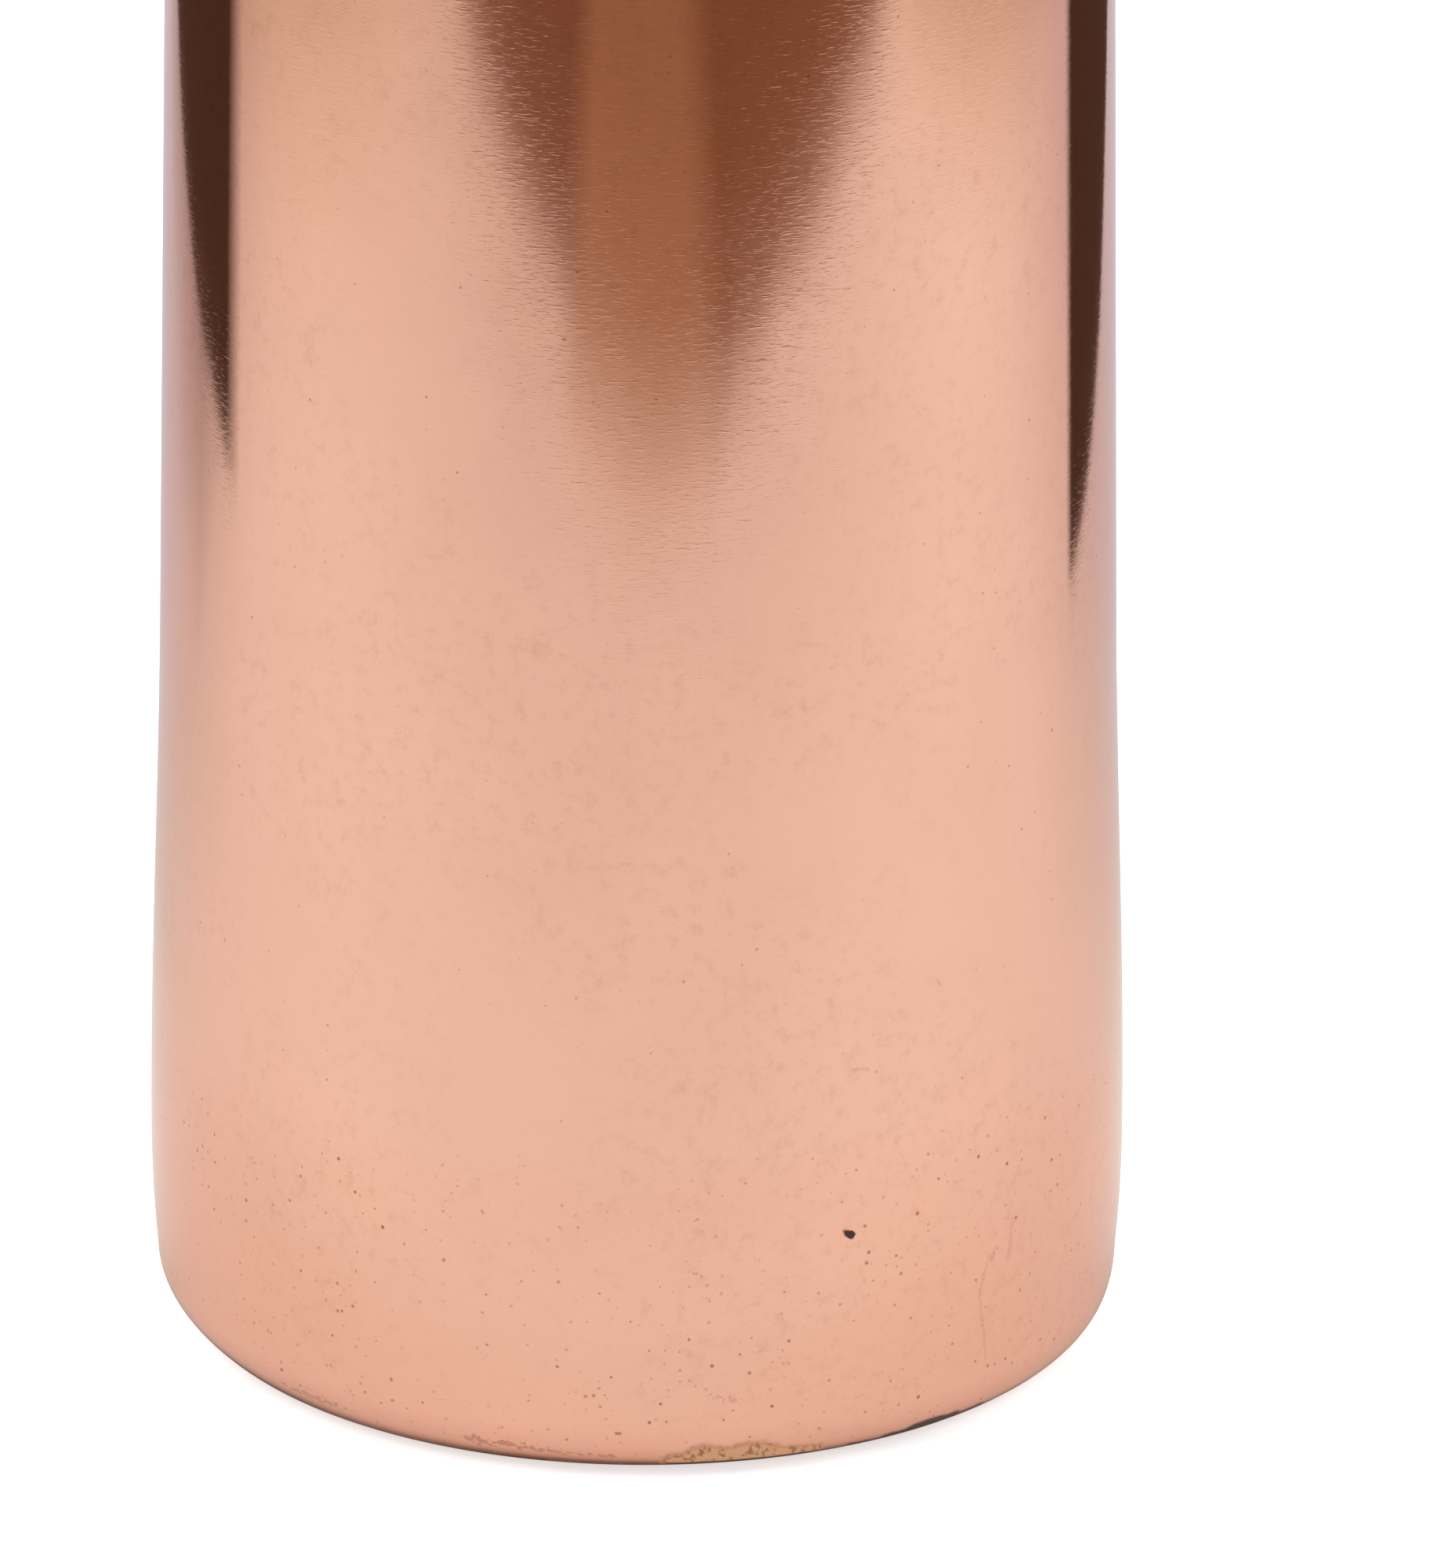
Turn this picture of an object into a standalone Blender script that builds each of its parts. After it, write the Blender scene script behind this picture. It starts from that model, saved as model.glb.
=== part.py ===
"""Copper water bottle with a screw cap, built from its separate pressed, spun and threaded pieces.

Units are metres, +Z is up, and the origin is the centre of the base, on the surface the bottle
stands on. Every piece is turned about the Z axis, so every object keeps its origin on that axis.

Run with:  blender --background --python part.py
"""

import math

import bmesh
import bpy

# ---------------------------------------------------------------- driving dimensions, in metres

GAP = 0.0003  # clearance kept between any two pieces that touch or are brazed
WALL = 0.0005  # sheet thickness of the body, the shoulder and the cap

# Body: a drawn tube with a slight belly just above the rounded base corner.
BELLY_RADIUS = 0.0375
BELLY_HEIGHT = 0.015
BASE_CORNER_RADIUS = 0.0055
BASE_INSET = 0.00045  # how much slimmer than the belly the wall is where the base corner ends
WAIST_INSET = 0.0010  # how much slimmer than the belly the wall is at the waist
WAIST_HEIGHT = 0.0566
BODY_TAPER = 0.0149  # radius lost for each unit of height above the waist
BODY_HEIGHT = 0.209
BASE_LIP_WIDTH = 0.0065  # flat ring turned inwards under the base, which the bottle stands on

# Base plate: a pressed disc on top of the base lip, domed up in the middle.
PLATE_WALL = 0.0006
PUNT_RISE = 0.0035  # how far the middle of the plate is pushed up
PUNT_SLOPE_WIDTH = 0.0040

# Shoulder and neck: one spun piece, let into the top of the body.
SEAM_LAP = 0.0060  # length of the skirt that goes down inside the body
SEAM_STEP = 0.0006  # height of the bend between the skirt and the shoulder
SHOULDER_TURN = math.radians(55)  # how far the dome turns in from upright
NECK_RADIUS = 0.0190
NECK_FILLET = 0.0050
NECK_BARE_LENGTH = 0.0010  # plain neck between the shoulder and the collar
LIP_SETBACK = 0.0001  # how far the lip's edge stays inside the root of the collar's thread
LIP_FLARE = 0.0004  # sloping step between the neck and the flat of the lip

# Threaded collar, slid over the neck under the flared lip.
COLLAR_WALL = 0.0009
COLLAR_LENGTH = 0.0200
FLANGE_OVERHANG = 0.0027
FLANGE_THICKNESS = 0.0020
COLLAR_CHAMFER = 0.0003

# Screw thread, right-handed, rolled with a blunt ridge.
THREAD_PITCH = 0.0050
THREAD_DEPTH = 0.0010
THREAD_CREST_WIDTH = 0.0012
THREAD_ROOT_WIDTH = 0.0026
THREAD_CLEARANCE = 0.00035  # radial play between a crest and the root that it runs in
THREAD_ROOTING = 0.0003  # how far a ridge reaches into the wall that carries it
COLLAR_THREAD_TURNS = 1.75
CAP_THREAD_TURNS = 1.5
THREAD_RUN_IN = 4  # facets over which each end of a ridge rises to full height

# Cap: an outer shell hemmed round a threaded ring, with a sealing cup and a gasket above it.
CAP_RING_WALL = 0.0010
CAP_OPEN_GAP = 0.0008  # daylight between the cap's hem and the collar's flange
CAP_CORNER_RADIUS = 0.0035
CAP_PANEL_RADIUS = 0.0165
CAP_PANEL_RISE = 0.0006
CAP_BEAD_HEIGHT = 0.0024
CAP_BEAD_RISE = 0.0006
GASKET_THICKNESS = 0.0023
GASKET_WIDTH = 0.0033

SEGMENTS = 40  # facets round every turned piece
ARC_STEPS = 4  # facets along a small round corner
DOME_STEPS = 7  # facets along the shoulder's dome
ON_AXIS = 0.00001  # points closer to the axis than this are merged into one

# ---------------------------------------------------------------- sizes that follow from the above

BASE_RADIUS = BELLY_RADIUS - BASE_INSET
FLAT_RADIUS = BASE_RADIUS - BASE_CORNER_RADIUS
WAIST_RADIUS = BELLY_RADIUS - WAIST_INSET
BODY_TOP_RADIUS = WAIST_RADIUS - BODY_TAPER * (BODY_HEIGHT - WAIST_HEIGHT)

SHOULDER_START = BODY_HEIGHT + GAP + SEAM_STEP
NECK_FILLET_FOOT = NECK_RADIUS + NECK_FILLET * (1 - math.cos(SHOULDER_TURN))
DOME_RADIUS = (BODY_TOP_RADIUS - NECK_FILLET_FOOT) / (1 - math.cos(SHOULDER_TURN))
NECK_START = SHOULDER_START + (DOME_RADIUS + NECK_FILLET) * math.sin(SHOULDER_TURN)

COLLAR_BOTTOM = NECK_START + NECK_BARE_LENGTH
COLLAR_TOP = COLLAR_BOTTOM + COLLAR_LENGTH
FLANGE_TOP = COLLAR_BOTTOM + FLANGE_THICKNESS
COLLAR_INNER_RADIUS = NECK_RADIUS + GAP
COLLAR_ROOT_RADIUS = COLLAR_INNER_RADIUS + COLLAR_WALL
COLLAR_CREST_RADIUS = COLLAR_ROOT_RADIUS + THREAD_DEPTH
LIP_UNDERSIDE = COLLAR_TOP + GAP
LIP_TOP = LIP_UNDERSIDE + WALL

RING_CREST_RADIUS = COLLAR_ROOT_RADIUS + THREAD_CLEARANCE
RING_ROOT_RADIUS = RING_CREST_RADIUS + THREAD_DEPTH
RING_OUTER_RADIUS = RING_ROOT_RADIUS + CAP_RING_WALL
CAP_INNER_RADIUS = RING_OUTER_RADIUS + GAP
CAP_RADIUS = CAP_INNER_RADIUS + WALL
CAP_BOTTOM = FLANGE_TOP + CAP_OPEN_GAP
RING_BOTTOM = CAP_BOTTOM + WALL + GAP
RING_TOP = LIP_TOP - GAP
GASKET_BOTTOM = LIP_TOP + GAP
GASKET_TOP = GASKET_BOTTOM + GASKET_THICKNESS
CUP_TOP = GASKET_TOP + GAP + WALL
CAP_SHOULDER_TOP = CUP_TOP + GAP + WALL
BOTTLE_HEIGHT = CAP_SHOULDER_TOP + CAP_PANEL_RISE

# A ridge starts this far above the flange, so that both threads sit on one helix at rest.
THREAD_START = FLANGE_TOP + CAP_OPEN_GAP + WALL + GAP + THREAD_ROOT_WIDTH


# ---------------------------------------------------------------- materials


def metal_or_rubber(name, colour, metallic, roughness):
    """A plain Principled material."""
    material = bpy.data.materials.new(name)
    material.use_nodes = True
    shader = material.node_tree.nodes["Principled BSDF"]
    shader.inputs["Base Color"].default_value = (*colour, 1.0)
    shader.inputs["Metallic"].default_value = metallic
    shader.inputs["Roughness"].default_value = roughness
    material.diffuse_color = (*colour, 1.0)
    return material


# ---------------------------------------------------------------- outlines, as lists of (radius, height)


def arc(centre, radius, start, end, steps):
    """Points along a round corner, from one angle to another, measured from the outward radius."""
    points = []
    for step in range(steps + 1):
        angle = start + (end - start) * step / steps
        points.append(
            (centre[0] + radius * math.cos(angle), centre[1] + radius * math.sin(angle))
        )
    return points


def belly_curve(steps):
    """The wall from the belly down to the base corner: a parabola that is upright at the belly."""
    points = []
    for step in range(1, steps):
        share = step / steps
        height = BELLY_HEIGHT + (BASE_CORNER_RADIUS - BELLY_HEIGHT) * share
        points.append((BELLY_RADIUS - BASE_INSET * share**2, height))
    return points


def waist_curve(steps):
    """The wall from the waist down to the belly: a cubic with the taper's slope at its top."""
    points = []
    length = WAIST_HEIGHT - BELLY_HEIGHT
    for step in range(steps + 1):
        share = 1 - step / steps
        ease = share * share * (3 - 2 * share)
        slope_part = (share**3 - share**2) * BODY_TAPER * length
        radius = BELLY_RADIUS - WAIST_INSET * ease - slope_part
        points.append((radius, BELLY_HEIGHT + length * share))
    return points


def body_outline():
    """The outside of the body, from its top edge down and in to the edge of the base lip."""
    corner = arc((FLAT_RADIUS, BASE_CORNER_RADIUS), BASE_CORNER_RADIUS, 0, -math.pi / 2, ARC_STEPS)
    lip_edge = (FLAT_RADIUS - BASE_LIP_WIDTH, 0.0)
    top_edge = (BODY_TOP_RADIUS, BODY_HEIGHT)
    return [top_edge, *waist_curve(5), *belly_curve(3), *corner, lip_edge]


def base_plate_outline():
    """The upper side of the base plate, from its middle out to its edge."""
    rim_top = WALL + GAP + PLATE_WALL
    dome_top = rim_top + PUNT_RISE
    slope_outer = FLAT_RADIUS - BASE_LIP_WIDTH
    slope_inner = slope_outer - PUNT_SLOPE_WIDTH
    return [(0.0, dome_top), (slope_inner, dome_top), (slope_outer, rim_top), (FLAT_RADIUS - GAP, rim_top)]


def shoulder_outline():
    """The dry side of the shoulder piece, from the tip of the lip down to the foot of its skirt."""
    lip_tip = (COLLAR_ROOT_RADIUS - LIP_SETBACK, LIP_UNDERSIDE)
    lip_root = (NECK_RADIUS + LIP_FLARE, LIP_UNDERSIDE)
    flare_foot = (NECK_RADIUS, LIP_UNDERSIDE - LIP_FLARE)
    fillet = arc(
        (NECK_RADIUS + NECK_FILLET, NECK_START),
        NECK_FILLET,
        math.pi,
        math.pi + SHOULDER_TURN,
        ARC_STEPS,
    )
    dome = arc(
        (BODY_TOP_RADIUS - DOME_RADIUS, SHOULDER_START),
        DOME_RADIUS,
        SHOULDER_TURN,
        0,
        DOME_STEPS,
    )
    skirt_radius = BODY_TOP_RADIUS - WALL - GAP
    skirt_top = (skirt_radius, BODY_HEIGHT + GAP)
    skirt_foot = (skirt_radius, BODY_HEIGHT - SEAM_LAP)
    return [lip_tip, lip_root, flare_foot, *fillet, *dome[1:], skirt_top, skirt_foot]


def collar_outline():
    """The closed section of the threaded collar, before its thread is added."""
    flange_radius = COLLAR_ROOT_RADIUS + FLANGE_OVERHANG
    return [
        (COLLAR_ROOT_RADIUS - COLLAR_CHAMFER, COLLAR_TOP),
        (COLLAR_ROOT_RADIUS, COLLAR_TOP - COLLAR_CHAMFER),
        (COLLAR_ROOT_RADIUS, FLANGE_TOP),
        (flange_radius - COLLAR_CHAMFER, FLANGE_TOP),
        (flange_radius, FLANGE_TOP - COLLAR_CHAMFER),
        (flange_radius, COLLAR_BOTTOM + COLLAR_CHAMFER),
        (flange_radius - COLLAR_CHAMFER, COLLAR_BOTTOM),
        (COLLAR_INNER_RADIUS, COLLAR_BOTTOM),
        (COLLAR_INNER_RADIUS, COLLAR_TOP - COLLAR_CHAMFER),
        (COLLAR_INNER_RADIUS + COLLAR_CHAMFER, COLLAR_TOP),
    ]


def cap_outline():
    """The outside of the cap, from the middle of its top down to the edge of its hem."""
    corner_centre = (CAP_RADIUS - CAP_CORNER_RADIUS, CAP_SHOULDER_TOP - CAP_CORNER_RADIUS)
    corner = arc(corner_centre, CAP_CORNER_RADIUS, math.pi / 2, 0, ARC_STEPS)
    bead_middle = CAP_BOTTOM + CAP_BEAD_HEIGHT / 2
    return [
        (0.0, BOTTLE_HEIGHT),
        (CAP_PANEL_RADIUS, BOTTLE_HEIGHT),
        (CAP_PANEL_RADIUS + CAP_PANEL_RISE, CAP_SHOULDER_TOP),
        *corner,
        (CAP_RADIUS, CAP_BOTTOM + CAP_BEAD_HEIGHT),
        (CAP_RADIUS + CAP_BEAD_RISE, bead_middle),
        (CAP_RADIUS, CAP_BOTTOM),
        (RING_ROOT_RADIUS + GAP, CAP_BOTTOM),
    ]


def cap_ring_outline():
    """The closed section of the cap's threaded ring, before its thread is added."""
    return [
        (RING_OUTER_RADIUS, RING_TOP),
        (RING_OUTER_RADIUS, RING_BOTTOM),
        (RING_ROOT_RADIUS, RING_BOTTOM),
        (RING_ROOT_RADIUS, RING_TOP),
    ]


def cup_corner(inset):
    """A round corner that keeps a distance inside the sealing cup's own outer corner."""
    radius = CAP_CORNER_RADIUS - WALL - GAP
    centre = (RING_OUTER_RADIUS - radius, CUP_TOP - radius)
    return arc(centre, radius - inset, math.pi / 2, 0, ARC_STEPS)


def sealing_cup_outline():
    """The upper side of the sealing cup, from its middle down to the foot of its skirt."""
    return [(0.0, CUP_TOP), *cup_corner(0.0), (RING_OUTER_RADIUS, RING_TOP + GAP)]


def gasket_outline():
    """The closed section of the gasket, rounded at its upper edge to sit in the cup's corner."""
    outer = RING_OUTER_RADIUS - WALL - GAP
    inner = outer - GASKET_WIDTH
    corner = cup_corner(WALL + GAP)
    return [*corner, (outer, GASKET_BOTTOM), (inner, GASKET_BOTTOM), (inner, GASKET_TOP)]


# ---------------------------------------------------------------- building turned pieces


def outline_mesh(name, outline, closed):
    """A wire mesh of the outline in the XZ plane, ready to be turned about Z."""
    wire = bmesh.new()
    points = [wire.verts.new((radius, 0.0, height)) for radius, height in outline]
    for first, second in zip(points, points[1:]):
        wire.edges.new((first, second))
    if closed:
        wire.edges.new((points[-1], points[0]))
    mesh = bpy.data.meshes.new(name)
    wire.to_mesh(mesh)
    wire.free()
    return mesh


def place(name, mesh, material, parent):
    """An object of that mesh on the bottle's axis, carried by an empty."""
    piece = bpy.data.objects.new(name, mesh)
    bpy.context.scene.collection.objects.link(piece)
    piece.parent = parent
    if not mesh.materials:
        mesh.materials.append(material)
    return piece


def add_turning(piece):
    """Turns the piece's outline once round the axis."""
    screw = piece.modifiers.new("turned", "SCREW")
    screw.axis = "Z"
    screw.angle = 2 * math.pi
    screw.steps = SEGMENTS
    screw.render_steps = SEGMENTS
    screw.use_smooth_shade = True
    screw.use_merge_vertices = True
    screw.merge_threshold = ON_AXIS


def turned_ring(name, outline, material, parent):
    """A solid ring from a closed section."""
    piece = place(name, outline_mesh(name, outline, closed=True), material, parent)
    add_turning(piece)
    return piece


def turned_sheet(name, outline, wall, material, parent):
    """A piece of sheet metal: its outer side is turned, and the wall is added inside it."""
    piece = place(name, outline_mesh(name, outline, closed=False), material, parent)
    add_turning(piece)
    sheet = piece.modifiers.new("sheet", "SOLIDIFY")
    sheet.thickness = wall
    sheet.offset = -1.0
    sheet.use_even_offset = True
    return piece


def ridge_section(root, crest, height, share):
    """The four corners of a thread ridge, from its root up to its share of the full depth."""
    tip = root + (crest - root) * share
    sunk = root - math.copysign(THREAD_ROOTING, crest - root)
    half_root = THREAD_ROOT_WIDTH / 2
    half_tip = half_root + (THREAD_CREST_WIDTH / 2 - half_root) * share
    return [
        (sunk, height - half_root),
        (tip, height - half_tip),
        (tip, height + half_tip),
        (sunk, height + half_root),
    ]


def thread_ridge(name, root, crest, turns, start):
    """A right-handed helical ridge as a closed mesh, used to build a thread and then hidden."""
    ridge = bmesh.new()
    facets = round(turns * SEGMENTS)
    rows = []
    for facet in range(facets + 1):
        angle = 2 * math.pi * facet / SEGMENTS
        height = start + THREAD_PITCH * facet / SEGMENTS
        share = min(1.0, facet / THREAD_RUN_IN, (facets - facet) / THREAD_RUN_IN)
        rows.append(
            [
                ridge.verts.new((radius * math.cos(angle), radius * math.sin(angle), level))
                for radius, level in ridge_section(root, crest, height, max(share, 0.1))
            ]
        )
    for row, following in zip(rows, rows[1:]):
        for corner in range(4):
            beside = (corner + 1) % 4
            ridge.faces.new((row[corner], row[beside], following[beside], following[corner]))
    ridge.faces.new(rows[0])
    ridge.faces.new(rows[-1])
    bmesh.ops.recalc_face_normals(ridge, faces=ridge.faces)
    mesh = bpy.data.meshes.new(name)
    ridge.to_mesh(mesh)
    ridge.free()
    helper = bpy.data.objects.new(name, mesh)
    bpy.context.scene.collection.objects.link(helper)
    helper.hide_render = True
    helper.display_type = "WIRE"
    return helper


def add_thread(piece, ridge):
    """Joins a ridge to the ring that carries it."""
    union = piece.modifiers.new("thread", "BOOLEAN")
    union.operation = "UNION"
    union.solver = "EXACT"
    union.object = ridge


# ---------------------------------------------------------------- the bottle


def carrier(name, parent=None):
    """An empty on the bottle's axis that carries the pieces of one moving group."""
    empty = bpy.data.objects.new(name, None)
    bpy.context.scene.collection.objects.link(empty)
    empty.parent = parent
    return empty


def build_bottle(bottle, copper, bare_copper):
    """The four brazed pieces that hold the water."""
    turned_sheet("body_shell", body_outline(), WALL, copper, bottle)
    turned_sheet("base_plate", base_plate_outline(), PLATE_WALL, bare_copper, bottle)
    turned_sheet("shoulder_shell", shoulder_outline(), WALL, copper, bottle)
    collar = turned_ring("neck_collar", collar_outline(), bare_copper, bottle)
    ridge = thread_ridge(
        "collar_thread",
        COLLAR_ROOT_RADIUS,
        COLLAR_CREST_RADIUS,
        COLLAR_THREAD_TURNS,
        THREAD_START + THREAD_PITCH / 2,
    )
    add_thread(collar, ridge)


def build_cap(cap, copper, bare_copper):
    """The three pieces of the cap that turn together."""
    turned_sheet("cap_shell", cap_outline(), WALL, copper, cap)
    turned_sheet("cap_sealing_cup", sealing_cup_outline(), WALL, bare_copper, cap)
    ring = turned_ring("cap_thread_ring", cap_ring_outline(), bare_copper, cap)
    ridge = thread_ridge(
        "cap_thread",
        RING_ROOT_RADIUS,
        RING_CREST_RADIUS,
        CAP_THREAD_TURNS,
        THREAD_START,
    )
    add_thread(ring, ridge)


def main():
    for leftover in list(bpy.data.objects):
        bpy.data.objects.remove(leftover)
    copper = metal_or_rubber("polished_copper", (0.87, 0.50, 0.36), 1.0, 0.18)
    bare_copper = metal_or_rubber("plain_copper", (0.78, 0.42, 0.28), 1.0, 0.35)
    silicone = metal_or_rubber("silicone", (0.86, 0.86, 0.83), 0.0, 0.45)
    bottle = carrier("bottle")
    cap_lift = carrier("cap_lift", bottle)
    cap_turn = carrier("cap_turn", cap_lift)
    build_bottle(bottle, copper, bare_copper)
    turned_ring("cap_gasket", gasket_outline(), silicone, cap_lift)
    build_cap(cap_turn, copper, bare_copper)
    print(f"bottle height {BOTTLE_HEIGHT * 1000:.1f} mm, belly diameter {BELLY_RADIUS * 2000:.1f} mm")
    print(f"lift that frees the cap {(LIP_TOP - CAP_BOTTOM) * 1000:.2f} mm")


main()
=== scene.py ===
# %% [markdown]
# # A copper water bottle, turned, brazed and polished
#
# The measured model gives the bottle's sizes and its moving cap. This lesson gives it its looks: fine
# turned walls, rolled threads, braze, polishing marks, tarnish, and the table and lights of a small photo
# studio.

# %% Loading the measured model
import math

import bpy
from mathutils import Matrix, Vector


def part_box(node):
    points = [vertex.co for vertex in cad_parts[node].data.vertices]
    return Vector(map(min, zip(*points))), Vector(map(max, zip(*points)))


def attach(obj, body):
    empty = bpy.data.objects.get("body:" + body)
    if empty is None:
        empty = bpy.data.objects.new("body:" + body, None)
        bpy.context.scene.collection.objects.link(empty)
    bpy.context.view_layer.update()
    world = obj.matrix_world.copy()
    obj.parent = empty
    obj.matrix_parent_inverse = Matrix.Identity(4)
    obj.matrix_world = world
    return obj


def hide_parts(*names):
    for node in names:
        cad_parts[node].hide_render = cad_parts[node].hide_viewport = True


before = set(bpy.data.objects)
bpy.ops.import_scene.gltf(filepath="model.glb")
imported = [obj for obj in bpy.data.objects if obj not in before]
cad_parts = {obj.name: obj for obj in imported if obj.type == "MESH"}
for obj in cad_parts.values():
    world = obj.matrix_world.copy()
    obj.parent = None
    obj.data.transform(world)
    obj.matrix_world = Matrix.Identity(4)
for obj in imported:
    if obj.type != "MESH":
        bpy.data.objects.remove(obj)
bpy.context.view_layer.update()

# %% [markdown]
# ## The camera
#
# A long lens from over a metre away keeps the bottle's sides nearly parallel, as product pictures do. It
# looks down by about twenty degrees at the lower half of the body. The camera could be turned with Euler
# angles, but two rotations multiplied together show better what happens: first a tilt, then a slight roll.

# %% Placing the camera
MM = 0.001
aim = Vector((6.87, 0.0, 42.72)) * MM
distance = 1200 * MM
look_down = math.radians(20.82)
roll = math.radians(0.281)

lens = bpy.data.cameras.new("long lens")
lens.lens = 359.55
lens.sensor_width = 36.0
lens.clip_start = 0.05
lens.clip_end = 50.0
camera = bpy.data.objects.new("camera", lens)
bpy.context.scene.collection.objects.link(camera)
backwards = Vector((0.0, -math.cos(look_down), math.sin(look_down)))
tilt = Matrix.Rotation(math.pi / 2 - look_down, 4, "X") @ Matrix.Rotation(roll, 4, "Z")
camera.matrix_world = Matrix.Translation(aim + backwards * distance) @ tilt
bpy.context.scene.camera = camera
print("camera stands at", [round(v, 3) for v in camera.location])

# %% [markdown]
# ## Helpers for node trees
#
# Materials and Geometry Nodes are both trees of nodes. One helper adds a node and wires or types its
# inputs; another makes a group with named inputs and outputs.

# %% Adding nodes and groups


def add(tree, kind, values=None, **settings):
    """A node of that kind. A value that is another node's output is wired, any other is typed in."""
    node = tree.nodes.new(kind)
    for key, value in settings.items():
        setattr(node, key, value)
    for name, value in (values or {}).items():
        if isinstance(value, bpy.types.NodeSocket):
            tree.links.new(value, node.inputs[name])
        else:
            node.inputs[name].default_value = value
    return node


def maths(tree, operation, *values, clamp=False):
    """A Math node's result, from numbers or other nodes' outputs."""
    wired = dict(enumerate(values))
    return add(tree, "ShaderNodeMath", wired, operation=operation, use_clamp=clamp).outputs[0]


def ramp(tree, value, low, high):
    """0 where the value is at low, 1 where it is at high, and smooth between them."""
    wired = {"Value": value, "From Min": low, "From Max": high}
    settings = {"interpolation_type": "SMOOTHSTEP", "clamp": True}
    return add(tree, "ShaderNodeMapRange", wired, **settings).outputs["Result"]


def new_group(name, kind, inputs, outputs):
    """An empty node group with named sockets, and its input and output nodes."""
    tree = bpy.data.node_groups.new(name, kind)
    for label, (socket, value) in inputs.items():
        made = tree.interface.new_socket(label, in_out="INPUT", socket_type=f"NodeSocket{socket}")
        if value is not None:
            made.default_value = value
    for label, socket in outputs.items():
        tree.interface.new_socket(label, in_out="OUTPUT", socket_type=f"NodeSocket{socket}")
    return tree, tree.nodes.new("NodeGroupInput").outputs, tree.nodes.new("NodeGroupOutput").inputs


print("ready to add nodes")

# %% [markdown]
# ## Shared finishes
#
# Polished copper is never quite even. A buffing wheel leaves fine lines round the body, acid and fingers
# leave smudges, and there are pits, scratches and brown tarnish. Each of these is a small group that puts
# out a height or a mask, so that every copper piece can use it with its own amounts. A picture wrapped
# round the bottle would do as well, but a pattern computed from the position has no seam and stays sharp
# close up.

# %% Polishing lines: noise drawn out round the axis


def lines_group():
    """Lines that run round the axis: noise whose pattern is short upwards and long around."""
    inputs = {
        "Place": ("Vector", None),
        "Line Length": ("Float", 0.003),
        "Line Spacing": ("Float", 0.0003),
        "Bareness": ("Float", 0.5),
    }
    tree, given, out = new_group("polishing lines", "ShaderNodeTree", inputs, {"Height": "Float"})
    around = maths(tree, "DIVIDE", 1.0, given["Line Length"])
    upwards = maths(tree, "DIVIDE", 1.0, given["Line Spacing"])
    stretch = add(tree, "ShaderNodeCombineXYZ", {"X": around, "Y": around, "Z": upwards})
    wired = {0: given["Place"], 1: stretch.outputs[0]}
    place = add(tree, "ShaderNodeVectorMath", wired, operation="MULTIPLY")
    wired = {"Vector": place.outputs[0], "Scale": 1.0, "Detail": 2.0, "Distortion": 0.35}
    noise = add(tree, "ShaderNodeTexNoise", wired).outputs["Fac"]
    full = maths(tree, "ADD", given["Bareness"], 0.3)
    cuts = ramp(tree, noise, given["Bareness"], full)
    height = maths(tree, "MULTIPLY_ADD", noise, 0.35, cuts)
    tree.links.new(height, out["Height"])
    return tree


polishing_lines = lines_group()
print("made the group", polishing_lines.name)

# %% Specks: small round marks scattered in space


def specks_group():
    """A speck in some of the cells of a Voronoi pattern; its size and its strength are left to chance."""
    inputs = {
        "Place": ("Vector", None),
        "Cells Per Metre": ("Float", 300.0),
        "Share Of Cells": ("Float", 0.2),
        "Size": ("Float", 0.12),
    }
    tree, given, out = new_group("specks", "ShaderNodeTree", inputs, {"Mask": "Float"})
    wired = {"Vector": given["Place"], "Scale": given["Cells Per Metre"]}
    cells = add(tree, "ShaderNodeTexVoronoi", wired)
    chance = add(tree, "ShaderNodeSeparateColor", {"Color": cells.outputs["Color"]}).outputs
    chosen = maths(tree, "LESS_THAN", chance[0], given["Share Of Cells"])
    reach = maths(tree, "MULTIPLY", maths(tree, "MULTIPLY_ADD", chance[1], 0.7, 0.3), given["Size"])
    inside = maths(tree, "SUBTRACT", reach, cells.outputs["Distance"])
    soft = ramp(tree, inside, 0.0, maths(tree, "MULTIPLY", reach, 0.6))
    strength = maths(tree, "MULTIPLY_ADD", maths(tree, "POWER", chance[2], 2.0), 0.8, 0.2)
    tree.links.new(maths(tree, "MULTIPLY", maths(tree, "MULTIPLY", soft, chosen), strength), out["Mask"])
    return tree


specks = specks_group()
print("made the group", specks.name)

# %% Blotches: large soft patches, for smudges and tarnish


def blotches_group():
    """Soft patches of noise above a threshold."""
    inputs = {
        "Place": ("Vector", None),
        "Patch Size": ("Float", 0.01),
        "Threshold": ("Float", 0.5),
        "Softness": ("Float", 0.2),
        "Roughness": ("Float", 0.6),
    }
    tree, given, out = new_group("blotches", "ShaderNodeTree", inputs, {"Mask": "Float"})
    scale = maths(tree, "DIVIDE", 1.0, given["Patch Size"])
    wired = {"Vector": given["Place"], "Scale": scale, "Detail": 5.0, "Roughness": given["Roughness"]}
    noise = add(tree, "ShaderNodeTexNoise", wired)
    high = maths(tree, "ADD", given["Threshold"], given["Softness"])
    mask = ramp(tree, noise.outputs["Fac"], given["Threshold"], high)
    tree.links.new(mask, out["Mask"])
    return tree


blotches = blotches_group()
print("made the group", blotches.name)

# %% One ragged mark at a chosen place


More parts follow.
